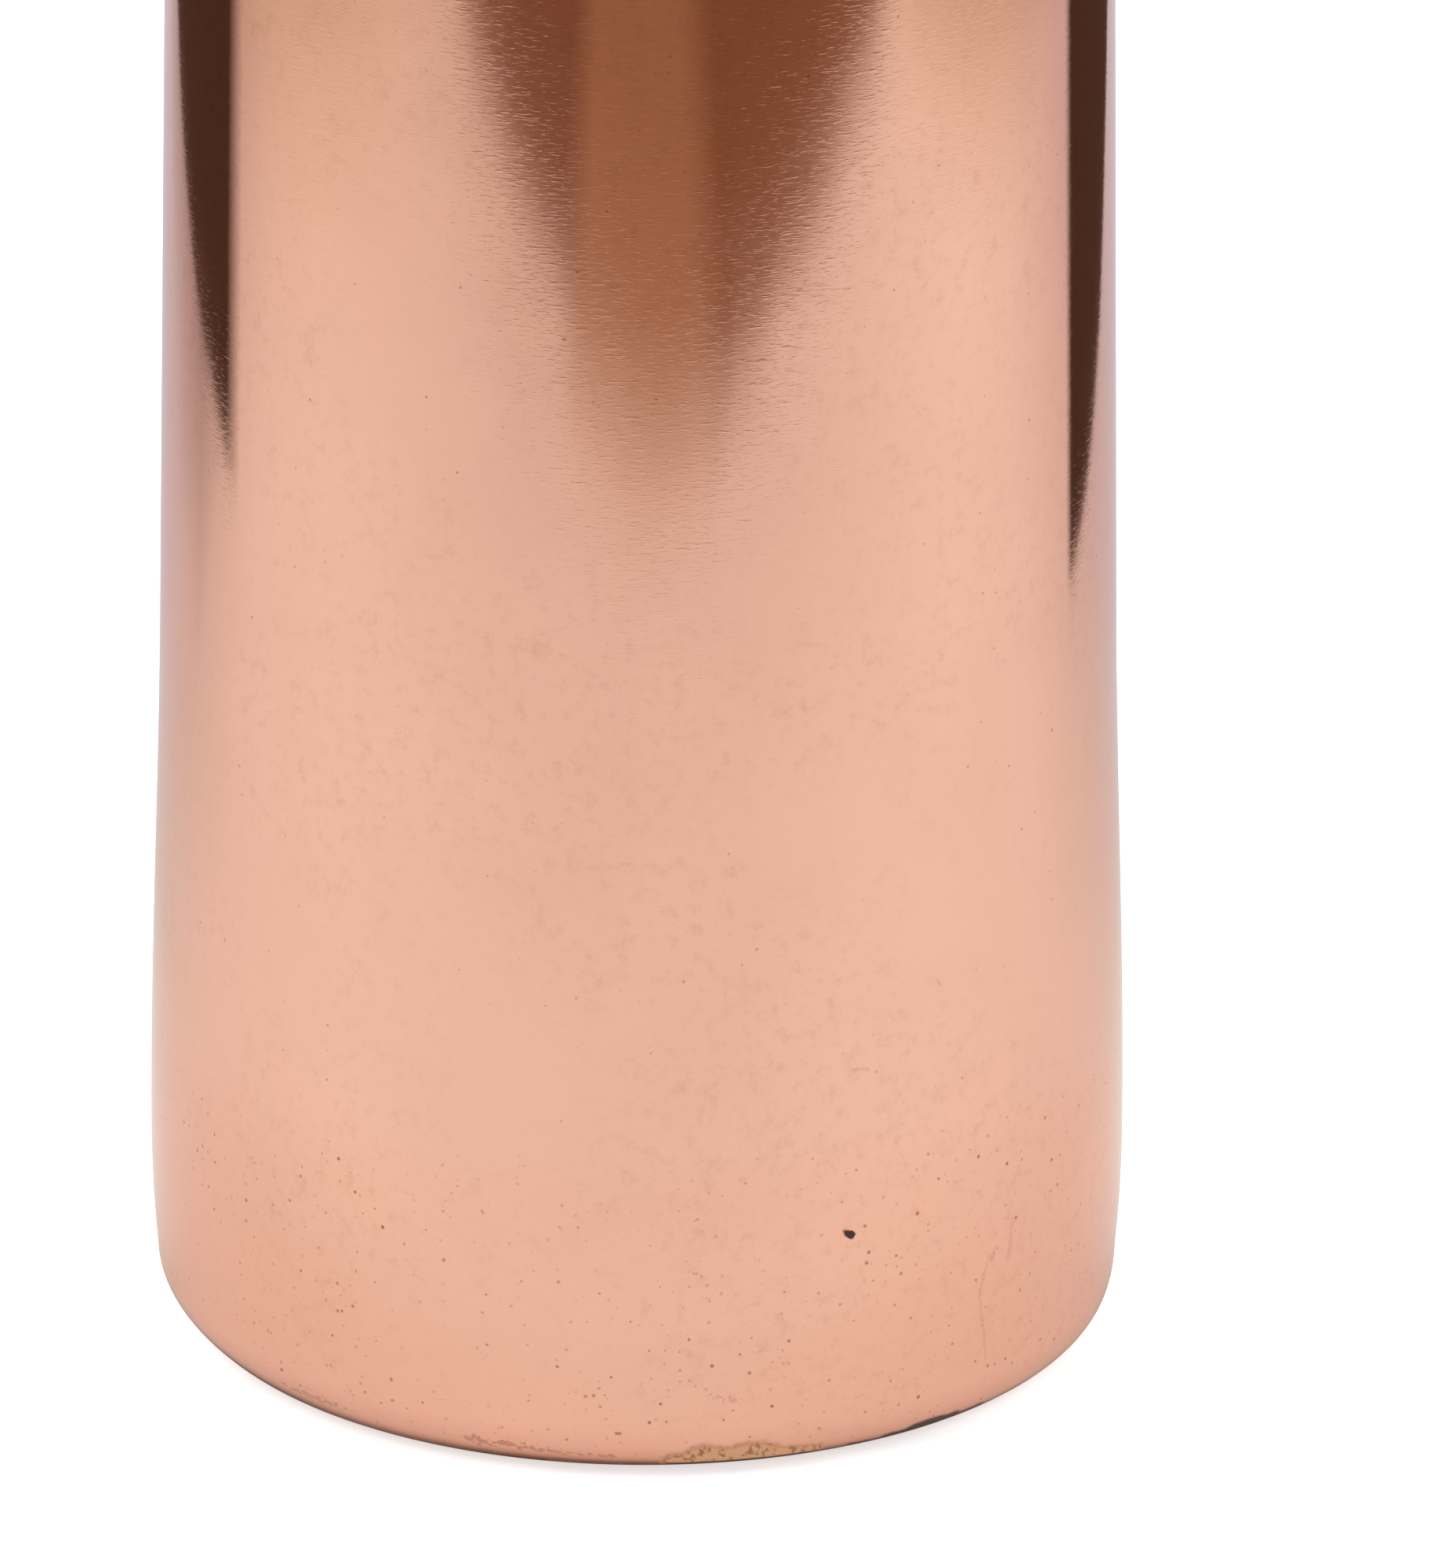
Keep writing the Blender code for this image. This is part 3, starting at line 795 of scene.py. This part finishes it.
def round_the_axis(tree):
    """Each point's coordinates, its place seen along the axis, its radius and its angle."""
    position = add(tree, "GeometryNodeInputPosition").outputs[0]
    split = add(tree, "ShaderNodeSeparateXYZ", {0: position}).outputs
    flat = add(tree, "ShaderNodeCombineXYZ", {"X": split["X"], "Y": split["Y"]}).outputs[0]
    radius = add(tree, "ShaderNodeVectorMath", {0: flat}, operation="LENGTH").outputs["Value"]
    return split, flat, radius, maths(tree, "ARCTAN2", split["Y"], split["X"])


def push_outwards(tree, piece, flat, push):
    """The piece with each point pushed away from the axis."""
    outwards = add(tree, "ShaderNodeVectorMath", {0: flat}, operation="NORMALIZE").outputs[0]
    wired = {0: outwards, "Scale": push}
    offset = add(tree, "ShaderNodeVectorMath", wired, operation="SCALE").outputs[0]
    return add(tree, "GeometryNodeSetPosition", {"Geometry": piece, "Offset": offset}).outputs[0]


print("ready to raise ridges")

# %% The thread tree


def thread_tree():
    """Raises a helical ridge with a blunt crest from a turned surface of a given radius."""
    inputs = {
        "Piece": ("Geometry", None),
        "Root Radius": ("Float", 0.02),
        "Depth": ("Float", 0.001),
        "Pitch": ("Float", 0.005),
        "Start": ("Float", 0.0),
        "Turns": ("Float", 1.5),
        "Crest Width": ("Float", 0.0012),
        "Root Width": ("Float", 0.0026),
        "Material": ("Material", None),
    }
    tree, given, out = new_group("rolled thread", "GeometryNodeTree", inputs, MADE)
    split, flat, radius, angle = round_the_axis(tree)
    turn = maths(tree, "FRACT", maths(tree, "ADD", maths(tree, "DIVIDE", angle, 2 * math.pi), 1.0))
    risen = maths(tree, "DIVIDE", maths(tree, "SUBTRACT", split["Z"], given["Start"]), given["Pitch"])
    phase = maths(tree, "SUBTRACT", risen, turn)
    whole = maths(tree, "ROUND", phase)
    off = maths(tree, "ABSOLUTE", maths(tree, "SUBTRACT", phase, whole))
    off = maths(tree, "MULTIPLY", off, given["Pitch"])
    half_root = maths(tree, "MULTIPLY", given["Root Width"], 0.5)
    half_crest = maths(tree, "MULTIPLY", given["Crest Width"], 0.5)
    ridge = ramp(tree, off, half_root, half_crest)
    along = maths(tree, "ADD", whole, turn)
    left = maths(tree, "SUBTRACT", given["Turns"], along)
    ends = maths(tree, "MULTIPLY", ramp(tree, along, 0.0, 0.1), ramp(tree, left, 0.0, 0.1))
    miss = maths(tree, "ABSOLUTE", maths(tree, "SUBTRACT", radius, given["Root Radius"]))
    on_wall = maths(tree, "LESS_THAN", miss, 0.02 * MM)
    height = maths(tree, "MULTIPLY", maths(tree, "MULTIPLY", ridge, ends), given["Depth"])
    push = maths(tree, "MULTIPLY", height, on_wall)
    finish_tree(tree, out, push_outwards(tree, given["Piece"], flat, push), given["Material"])
    return tree


thread = thread_tree()
print("made the tree", thread.name, "with", len(thread.nodes), "nodes")

# %% The collar on the neck

collar_root = 20.2 * MM
collar_inner = neck + gap
flange_top = collar_low.z + 2.0 * MM
flange = collar_root + 2.7 * MM
thread_start = flange_top + 4.2 * MM
soft = 0.3 * MM
collar_top_edge = arc((collar_root - soft, collar_high.z - soft), soft, math.pi / 2, 0, 4)
flange_edge = arc((flange - soft, flange_top - soft), soft, math.pi / 2, 0, 4)
flange_under = arc((flange - soft, collar_low.z + soft), soft, 0, -math.pi / 2, 4)
thread_wall = straight(collar_top_edge[-1], (collar_root, flange_top), 150)
collar_line = [*collar_top_edge, *thread_wall, *flange_edge, *flange_under]
collar_line = [*collar_line, (collar_inner, collar_low.z), (collar_inner, collar_high.z - soft)]
collar_line = [*collar_line, (collar_inner + soft, collar_high.z), collar_line[0]]

collar = start_piece("neck_thread_collar", collar_line)
add_tree(collar, lathe, Facets=216, Material=plain)
add_tree(
    collar,
    thread,
    Root_Radius=collar_root,
    Start=thread_start + 2.5 * MM,
    Turns=1.75,
    Material=plain,
)
hand_over(keep_as_mesh(collar), "neck_collar", "bottle")

# %% The ring in the cap

ring_low, ring_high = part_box("cap_thread_ring")
ring_outer = ring_high.x
ring_root = ring_outer - 1.0 * MM
ring_wall = straight((ring_root, ring_low.z), (ring_root, ring_high.z), 130)
ring_line = [(ring_outer, ring_high.z), *straight((ring_outer, ring_high.z), (ring_outer, ring_low.z), 4)]
ring_line = [*ring_line, (ring_root, ring_low.z), *ring_wall, ring_line[0]]

ring = start_piece("cap_inner_thread", ring_line)
add_tree(ring, lathe, Facets=216, Material=plain)
add_tree(
    ring,
    thread,
    Root_Radius=ring_root,
    Depth=-1.0 * MM,
    Start=thread_start,
    Turns=1.5,
    Material=plain,
)
hand_over(keep_as_mesh(ring), "cap_thread_ring", "cap")

# %% [markdown]
# ## The cap
#
# The cap is a pressed cup with fine upright reeds rolled into its side for grip, between a plain band and a
# rounded bead. The reeds repeat round the side, so they are one more small tree: it pushes each point out
# by a wave of its angle, where the point's height lies in the reeded band.

# %% The reeding tree


def reeding_tree():
    """Presses upright reeds into the side of a cap, between two heights."""
    inputs = {
        "Piece": ("Geometry", None),
        "Reeds": ("Int", 60),
        "Depth": ("Float", 0.0003),
        "Low": ("Float", 0.0),
        "High": ("Float", 0.01),
        "Fade": ("Float", 0.0012),
        "Least Radius": ("Float", 0.02),
        "Material": ("Material", None),
    }
    tree, given, out = new_group("reeded grip", "GeometryNodeTree", inputs, MADE)
    split, flat, radius, angle = round_the_axis(tree)
    half = maths(tree, "MULTIPLY", maths(tree, "MULTIPLY", angle, given["Reeds"]), 0.5)
    wave = maths(tree, "ABSOLUTE", maths(tree, "SINE", half))
    valley = maths(tree, "SUBTRACT", wave, 1.0)
    above = ramp(tree, split["Z"], given["Low"], maths(tree, "ADD", given["Low"], given["Fade"]))
    below = ramp(tree, split["Z"], given["High"], maths(tree, "SUBTRACT", given["High"], given["Fade"]))
    on_side = maths(tree, "GREATER_THAN", radius, given["Least Radius"])
    band = maths(tree, "MULTIPLY", maths(tree, "MULTIPLY", above, below), on_side)
    push = maths(tree, "MULTIPLY", maths(tree, "MULTIPLY", valley, band), given["Depth"])
    finish_tree(tree, out, push_outwards(tree, given["Piece"], flat, push), given["Material"])
    return tree


reeding = reeding_tree()
print("made the tree", reeding.name, "with", len(reeding.nodes), "nodes")

# %% The cap's shell

cap_low, cap_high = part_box("cap_shell")
cap_side = ring_outer + gap + wall
cap_shoulder = cap_high.z - 0.6 * MM
cap_corner = 3.5 * MM
panel = 16.5 * MM
bead = cap_high.x - cap_side
bead_height = 2.4 * MM
bead_top = cap_low.z + bead_height
panel_edge = arc((panel, cap_high.z - 0.3 * MM), 0.3 * MM, math.pi / 2, 0, 4)
round_over = arc((cap_side - cap_corner, cap_shoulder - cap_corner), cap_corner, math.pi / 2, 0, 16)
cap_line = [(0.0, cap_high.z), *straight((0.0, cap_high.z), panel_edge[0], 6), *panel_edge[1:]]
cap_line = [*cap_line, (panel + 0.45 * MM, cap_shoulder + 0.06 * MM), (panel + 0.7 * MM, cap_shoulder)]
cap_line = [*cap_line, *round_over, *straight(round_over[-1], (cap_side, bead_top), 36)]
bead_line = []
for step in range(1, 12):
    bulge = bead * math.sin(math.pi * step / 12) ** 0.8
    bead_line.append((cap_side + bulge, bead_top - bead_height * step / 12))
hem = [(cap_side, cap_low.z), *straight((cap_side, cap_low.z), (ring_root + gap, cap_low.z), 3)]
cap_line = [*cap_line, *bead_line, *hem]

cap = start_piece("cap_cover", both_sides(cap_line, wall))
add_tree(cap, lathe, Facets=600, Material=polished)
add_tree(
    cap,
    reeding,
    Reeds=60,
    Depth=0.35 * MM,
    Low=bead_top + 0.6 * MM,
    High=cap_shoulder - cap_corner - 0.4 * MM,
    Least_Radius=cap_side - 0.05 * MM,
    Material=polished,
)
hand_over(keep_as_mesh(cap), "cap_shell", "cap")

# %% Sealing cup and gasket

cup_low, cup_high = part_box("cap_sealing_cup")
cup_corner = cap_corner - wall - gap
cup_round = arc((ring_outer - cup_corner, cup_high.z - cup_corner), cup_corner, math.pi / 2, 0, 12)
cup_line = [(0.0, cup_high.z), *straight((0.0, cup_high.z), cup_round[0], 6), *cup_round[1:]]
cup_line = [*cup_line, (ring_outer, cup_low.z)]
cup = start_piece("cap_seal_cup", both_sides(cup_line, wall))
add_tree(cup, lathe, Facets=192, Material=plain)
hand_over(keep_as_mesh(cup), "cap_sealing_cup", "cap")

gasket_low, gasket_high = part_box("cap_gasket")
gasket_corner = cup_corner - wall - gap
gasket_inner = gasket_high.x - 3.3 * MM
gasket_centre = (ring_outer - cup_corner, cup_high.z - cup_corner)
gasket_line = arc(gasket_centre, gasket_corner, math.pi / 2, 0, 12)
rounding = 0.25 * MM
for radius, height, start in (
    (gasket_high.x, gasket_low.z, 0.0),
    (gasket_inner, gasket_low.z, -math.pi / 2),
    (gasket_inner, gasket_high.z, -math.pi),
):
    inwards = -1 if radius == gasket_high.x else 1
    upwards = 1 if height == gasket_low.z else -1
    centre = (radius + inwards * rounding, height + upwards * rounding)
    gasket_line = [*gasket_line, *arc(centre, rounding, start, start - math.pi / 2, 5)]
gasket = start_piece("cap_gasket_ring", [*gasket_line, gasket_line[0]])
add_tree(gasket, lathe, Facets=192, Material=silicone)
hand_over(keep_as_mesh(gasket), "cap_gasket", "seal")

# %% [markdown]
# ## Braze
#
# The pieces are joined with braze, which runs into each joint and freezes as a thin bead. A bead follows
# the joint's circle and its thickness wanders, so a tree sweeps a small circle round a large one and lets
# noise with a fixed seed swell and shrink it.

# %% The bead tree


def bead_tree():
    """A bead round a circle at a given height, with an uneven thickness."""
    inputs = {
        "Circle": ("Geometry", None),
        "Ring Radius": ("Float", 0.03),
        "Height": ("Float", 0.0),
        "Thickness": ("Float", 0.0003),
        "Unevenness": ("Float", 0.3),
        "Seed": ("Float", 1.0),
        "Material": ("Material", None),
    }
    tree, given, out = new_group("bead of braze", "GeometryNodeTree", inputs, MADE)
    wired = {"Radius": given["Ring Radius"], "Resolution": 480}
    ring_path = add(tree, "GeometryNodeCurvePrimitiveCircle", wired)
    lift = add(tree, "ShaderNodeCombineXYZ", {"Z": given["Height"]}).outputs[0]
    wired = {"Geometry": ring_path.outputs["Curve"], "Offset": lift}
    raised = add(tree, "GeometryNodeSetPosition", wired)
    position = add(tree, "GeometryNodeInputPosition").outputs[0]
    wired = {"Vector": position, "W": given["Seed"], "Scale": 400.0, "Detail": 3.0}
    noise = add(tree, "ShaderNodeTexNoise", wired, noise_dimensions="4D").outputs["Fac"]
    uneven = maths(tree, "MULTIPLY", maths(tree, "SUBTRACT", noise, 0.5), given["Unevenness"])
    swell = maths(tree, "MULTIPLY_ADD", uneven, 2.0, 1.0)
    section = add(tree, "GeometryNodeCurvePrimitiveCircle", {"Radius": 1.0, "Resolution": 10})
    thickness = maths(tree, "MULTIPLY", swell, given["Thickness"])
    wired = {"Curve": raised.outputs[0], "Profile Curve": section.outputs["Curve"], "Scale": thickness}
    swept = add(tree, "GeometryNodeCurveToMesh", wired)
    finish_tree(tree, out, swept.outputs[0], given["Material"])
    return tree


bead_of_braze = bead_tree()
print("made the tree", bead_of_braze.name)

# %% The three beads


def braze_bead(name, radius, height, thickness, seed):
    """A bead of braze on the bottle."""
    piece = start_piece(name, [(radius, height)])
    values = {"Ring_Radius": radius, "Height": height, "Thickness": thickness, "Seed": seed}
    add_tree(piece, bead_of_braze, Unevenness=0.35, Material=braze, **values)
    hand_over(keep_as_mesh(piece), None, "bottle")


braze_bead("shoulder_braze", body_top - 0.25 * MM, body_high.z + 0.15 * MM, 0.32 * MM, 1.0)
braze_bead("neck_braze", neck + 0.35 * MM, collar_low.z - 0.15 * MM, 0.45 * MM, 2.0)
braze_bead("base_braze", slope_outer - 0.15 * MM, 0.62 * MM, 0.42 * MM, 3.0)

# %% [markdown]
# ## The table, the cards and the lights
#
# A polished bottle shows the room and not itself, so a photographer builds what it mirrors. The table is
# white and glows a little, as a lit acrylic table does, which keeps shadows faint. It ends in front of the
# camera: the dark room beyond it makes the dark wedge down the middle of the bottle. Gaps between the white
# boards behind make the two dark stripes at its sides. These cards are only seen in reflections.

# %% Table


def table_material():
    """White acrylic, lit from below, and clear when seen from underneath."""
    material = bpy.data.materials.new("table")
    material.use_nodes = True
    tree = material.node_tree
    tree.nodes.clear()
    paint = add(tree, "ShaderNodeBsdfDiffuse", {"Color": (0.8, 0.8, 0.8, 1.0)})
    shine = add(tree, "ShaderNodeEmission", {"Color": (1.0, 1.0, 1.0, 1.0), "Strength": 0.62})
    both = add(tree, "ShaderNodeAddShader", {0: paint.outputs[0], 1: shine.outputs[0]})
    clear = tree.nodes.new("ShaderNodeBsdfTransparent")
    below = add(tree, "ShaderNodeNewGeometry").outputs["Backfacing"]
    either = add(tree, "ShaderNodeMixShader", {0: below, 1: both.outputs[0], 2: clear.outputs[0]})
    end = tree.nodes.new("ShaderNodeOutputMaterial")
    tree.links.new(either.outputs[0], end.inputs["Surface"])
    return material


def stage_mesh(name, points, faces, material):
    """A part of the studio, which isn't part of the bottle, from points in millimetres."""
    mesh = bpy.data.meshes.new(name)
    mesh.from_pydata([tuple(value * MM for value in point) for point in points], [], faces)
    mesh.materials.append(material)
    part = bpy.data.objects.new(name, mesh)
    bpy.context.scene.collection.objects.link(part)
    return part


table_corners = [(-9e3, -9e3, -0.1), (9e3, -9e3, -0.1), (9e3, 9e3, -0.1), (-9e3, 9e3, -0.1)]
table = stage_mesh("table", table_corners, [(0, 1, 2, 3)], table_material())
print("table is", table.dimensions.x, "metres wide")

# %% Cards that only reflections see


def glow_material():
    """Gives off each point's own colour, and is clear where that colour's alpha is 0."""
    material = bpy.data.materials.new("reflection card")
    material.use_nodes = True
    tree = material.node_tree
    tree.nodes.clear()
    paint = add(tree, "ShaderNodeVertexColor", layer_name="glow").outputs
    shine = add(tree, "ShaderNodeEmission", {"Color": paint["Color"]})
    clear = tree.nodes.new("ShaderNodeBsdfTransparent")
    both = add(tree, "ShaderNodeMixShader", {0: paint["Alpha"], 1: clear.outputs[0], 2: shine.outputs[0]})
    end = tree.nodes.new("ShaderNodeOutputMaterial")
    tree.links.new(both.outputs[0], end.inputs["Surface"])
    return material


card_material = glow_material()


def reflection_card(name, rows):
    """A card of rows of (place in mm, colour, cover), which shows in reflections only."""
    wide = len(rows[0])
    faces = []
    for row in range(len(rows) - 1):
        for column in range(wide - 1):
            first = row * wide + column
            faces.append((first, first + 1, first + 1 + wide, first + wide))
    points = [point for row in rows for point in row]
    card = stage_mesh(name, [place for place, _, _ in points], faces, card_material)
    paint = card.data.color_attributes.new("glow", "FLOAT_COLOR", "POINT")
    for index, (_, colour, cover) in enumerate(points):
        paint.data[index].color = (*colour, cover)
    card.visible_camera = False
    card.visible_diffuse = False
    card.visible_transmission = False
    card.visible_shadow = False
    print(name, "has", len(faces), "faces")


def between(value, stops):
    """A colour read off a list of (position, colour) stops, in a straight line between two stops."""
    if value <= stops[0][0]:
        return stops[0][1]
    for (low, first), (high, second) in zip(stops, stops[1:]):
        if value <= high:
            share = (value - low) / (high - low)
            return tuple(a + (b - a) * share for a, b in zip(first, second))
    return stops[-1][1]


# %% The table's glow, by place

# Colours by distance in millimetres: along the table (y), out from the bottle's axis, and across (x).
ALONG_TABLE = [
    (-420, (0.80, 0.78, 0.74)),
    (-290, (0.86, 0.84, 0.81)),
    (-250, (0.92, 0.92, 0.92)),
    (-200, (0.96, 0.97, 0.96)),
    (-120, (1.02, 1.05, 1.05)),
    (-60, (1.04, 1.08, 1.08)),
    (0, (1.01, 1.03, 1.03)),
    (30, (0.98, 0.99, 0.99)),
    (60, (0.90, 0.90, 0.89)),
    (100, (0.79, 0.76, 0.76)),
    (160, (0.69, 0.64, 0.69)),
    (240, (0.65, 0.61, 0.67)),
    (420, (0.68, 0.66, 0.71)),
    (700, (0.85, 0.84, 0.85)),
    (1500, (0.95, 0.95, 0.95)),
]
# Painted shadow of the bottle on the mirrored table: darkest under the base corner, tinted copper, fading
# out by 150 mm.
SHADE_NEAR_BOTTLE = [
    (33.6, (0.10, 0.055, 0.04)),
    (36.4, (0.48, 0.34, 0.28)),
    (39, (0.69, 0.55, 0.48)),
    (41, (0.75, 0.63, 0.57)),
    (45, (0.83, 0.73, 0.68)),
    (50, (0.88, 0.80, 0.76)),
    (60, (0.925, 0.865, 0.83)),
    (75, (0.95, 0.905, 0.88)),
    (90, (0.97, 0.95, 0.94)),
    (120, (1.0, 0.99, 0.98)),
    (150, (1.0, 1.0, 1.0)),
]
ACROSS_TABLE = [
    (-390, (0.78, 0.72, 0.63)),
    (-360, (0.88, 0.84, 0.78)),
    (-330, (0.93, 0.905, 0.87)),
    (-300, (0.96, 0.945, 0.93)),
    (-240, (0.99, 0.985, 0.98)),
    (-120, (1.0, 1.0, 1.0)),
    (240, (1.01, 1.01, 1.01)),
    (330, (1.02, 1.04, 1.04)),
    (360, (0.98, 0.95, 0.92)),
    (380, (0.86, 0.81, 0.75)),
    (400, (0.70, 0.63, 0.55)),
]
# Round patches on the table: x, y, half width, half depth and how much brighter they are.
PATCHES = [(0, -105, 75, 45, -0.045), (300, 115, 90, 50, 0.12)]
print("stops:", len(ALONG_TABLE), "along,", len(SHADE_NEAR_BOTTLE), "outwards,", len(ACROSS_TABLE), "across")

# %% The glowing table as the bottle mirrors it


def rise(value, low, high):
    """0 up to low, 1 from high, and a straight line between them."""
    return min(1.0, max(0.0, (value - low) / (high - low)))


def hill(value, centre, width):
    """1 at the centre, falling softly to both sides."""
    return math.exp(-(((value - centre) / width) ** 2))


def table_glow(x, y):
    """The table's glow: brightest before the bottle, dimmer behind, with painted shade close to it tinted
    copper.
    """
    radius = math.hypot(x, y)
    if y > 0:
        nearness = radius - 0.5 * y * rise(radius, 60, 100)
    else:
        lift = 0.5 + 0.4 * (y / radius) ** 2 * (1 - rise(radius, 42, 60))
        nearness = radius - lift * y * rise(radius, 34, 42)
    # On one side the base corner stands off the table a little, and its shadow is wider.
    side = math.degrees(math.atan2(x, -y))
    if radius < 37:
        nearness += 0.8 * hill(side, -36, 18) - 0.6 * hill(side, 42, 11)
    tones = (between(y, ALONG_TABLE), between(nearness, SHADE_NEAR_BOTTLE), between(x, ACROSS_TABLE))
    gain = 1.0
    for patch_x, patch_y, wide, deep, brighter in PATCHES:
        gain *= 1 + brighter * hill(x, patch_x, wide) * hill(y, patch_y, deep)
    return tuple(math.prod(channel) * gain for channel in zip(*tones))


rings = [30, 33.6, 34.2, 34.8, 35.4, 36, 36.9, 37.1, 38.5, 40, 42, 45, 50, 57, 65, 75, 90, 105]
rings += [*range(120, 440, 20), 480, 560, 700, 1000, 1500, 3000, 9000]
glow_rows = []
for ring in rings:
    spokes = [(ring * math.cos(math.pi * s / 36), ring * math.sin(math.pi * s / 36)) for s in range(73)]
    glow_rows.append([((x, y, -0.05), table_glow(x, y), 1.0) for x, y in spokes])
reflection_card("table_glow", glow_rows)

# %% The dark room beyond the table's front edge

# The room's tones, near the table's edge and deeper in.
LEFT = ((0.235, 0.125, 0.08), (0.20, 0.10, 0.06))
MIDDLE = ((0.425, 0.27, 0.175), (0.32, 0.19, 0.11))
RIGHT = ((0.265, 0.137, 0.08), (0.20, 0.10, 0.05))
# Each column: x, the middle of the soft edge, half its width, and the two tones.
FRONT_EDGE = [
    (-1500, -330, 30, LEFT),
    (-500, -330, 30, LEFT),
    (-330, -332, 14, LEFT),
    (-270, -326, 12, LEFT),
    (-210, -329, 10, LEFT),
    (-110, -329, 14, LEFT),
    (-70, -307, 26, MIDDLE),
    (0, -296, 32, MIDDLE),
    (70, -290, 26, MIDDLE),
    (120, -292, 14, RIGHT),
    (180, -286, 10, RIGHT),
    (240, -268, 10, RIGHT),
    (300, -250, 11, RIGHT),
    (330, -233, 12, RIGHT),
    (500, -160, 25, RIGHT),
    (1500, 60, 30, RIGHT),
]
FURTHER_IN = [
    (450, (0.42, 0.29, 0.20), 1.0),
    (1200, (0.70, 0.62, 0.55), 1.0),
    (3000, (0.80, 0.75, 0.70), 0.0),
]
room_columns = []
for x, edge, half, (near, deep) in FRONT_EDGE:
    steps = [(-half, near, 0.0), (half, near, 1.0), (130, deep, 1.0), *FURTHER_IN]
    room_columns.append([((x, edge - depth, 0.5), tone, cover) for depth, tone, cover in steps])
reflection_card("dark_room", list(zip(*room_columns)))

# %% Standing panels behind the bottle, and the walls at its sides

PANEL_TONE = (0.075, 0.042, 0.03)
WALL_TONE = (0.72, 0.66, 0.56)


def standing_card(name, feet, tone, top):
    """An upright card from its (x, y, cover) feet, soft at the top."""
    levels = [(0, 1), (top, 1), (top * 1.25, 0)]
    reflection_card(name, [[((x, y, z), tone, c * fade) for x, y, c in feet] for z, fade in levels])


left_panel = [(-231, 58, 0), (-231, 85, 1), (-230, 125, 1), (-224, 157, 1), (-218, 200, 1), (-206, 260, 1)]
left_panel += [(-196, 400, 1), (-196, 700, 1), (-196, 760, 0)]
standing_card("left_panel", left_panel, PANEL_TONE, 420)
right_panel = [(182, 91, 0), (180, 101, 1), (175, 129, 1), (170, 161, 1), (165, 203, 1), (166, 300, 1)]
right_panel += [(158, 700, 1), (156, 760, 0)]
standing_card("right_panel", right_panel, PANEL_TONE, 420)
left_wall = [(-400, -330, 0), (-400, -250, 1), (-400, 420, 1), (-400, 520, 0)]
standing_card("left_wall", left_wall, WALL_TONE, 260)
right_wall = [(400, -250, 0), (400, -180, 1), (400, 420, 1), (400, 520, 0)]
standing_card("right_wall", right_wall, WALL_TONE, 260)

# The left panel's own shade on the table.
shade = (0.2, 0.12, 0.1)
shade_rows = []
for y, cover in ((90, 0), (150, 0.5), (700, 0.5)):
    shade_rows.append([((-150, y, 0.3), shade, 0.0), ((-231, y, 0.3), shade, cover)])
reflection_card("left_shade", shade_rows)

# %% Lights and the white surroundings


def soft_light(name, place, size, power):
    """A large square light that looks at the bottle's middle."""
    lamp = bpy.data.lights.new(name, "AREA")
    lamp.size = size
    lamp.energy = power
    light = bpy.data.objects.new(name, lamp)
    bpy.context.scene.collection.objects.link(light)
    light.location = place
    towards = Vector((0.0, 0.0, 0.13)) - Vector(place)
    light.rotation_mode = "QUATERNION"
    light.rotation_quaternion = towards.to_track_quat("-Z", "Y")
    light.visible_camera = False
    return light


soft_light("key light", (-1.1, -0.9, 1.5), 0.9, 14.0)
soft_light("fill light", (1.3, -0.4, 1.2), 0.8, 8.0)
soft_light("back light", (0.2, 1.5, 1.3), 0.8, 8.0)

world = bpy.data.worlds.new("white surroundings")
bpy.context.scene.world = world
world.use_nodes = True
sky = world.node_tree
direction = add(sky, "ShaderNodeTexCoord").outputs["Generated"]
upwards = add(sky, "ShaderNodeSeparateXYZ", {0: direction}).outputs["Z"]
fade = ramp(sky, upwards, 0.15, 0.95)
tone = blend(sky, fade, (0.97, 0.97, 0.98, 1.0), (0.42, 0.42, 0.44, 1.0))
sky.links.new(tone, sky.nodes["Background"].inputs["Color"])

# %% [markdown]
# ## Finishing
#
# Colours are shown as they are, with no film look, so that white stays white.

# %% Colour
bpy.context.scene.view_settings.view_transform = "Standard"
bpy.context.scene.view_settings.look = "None"
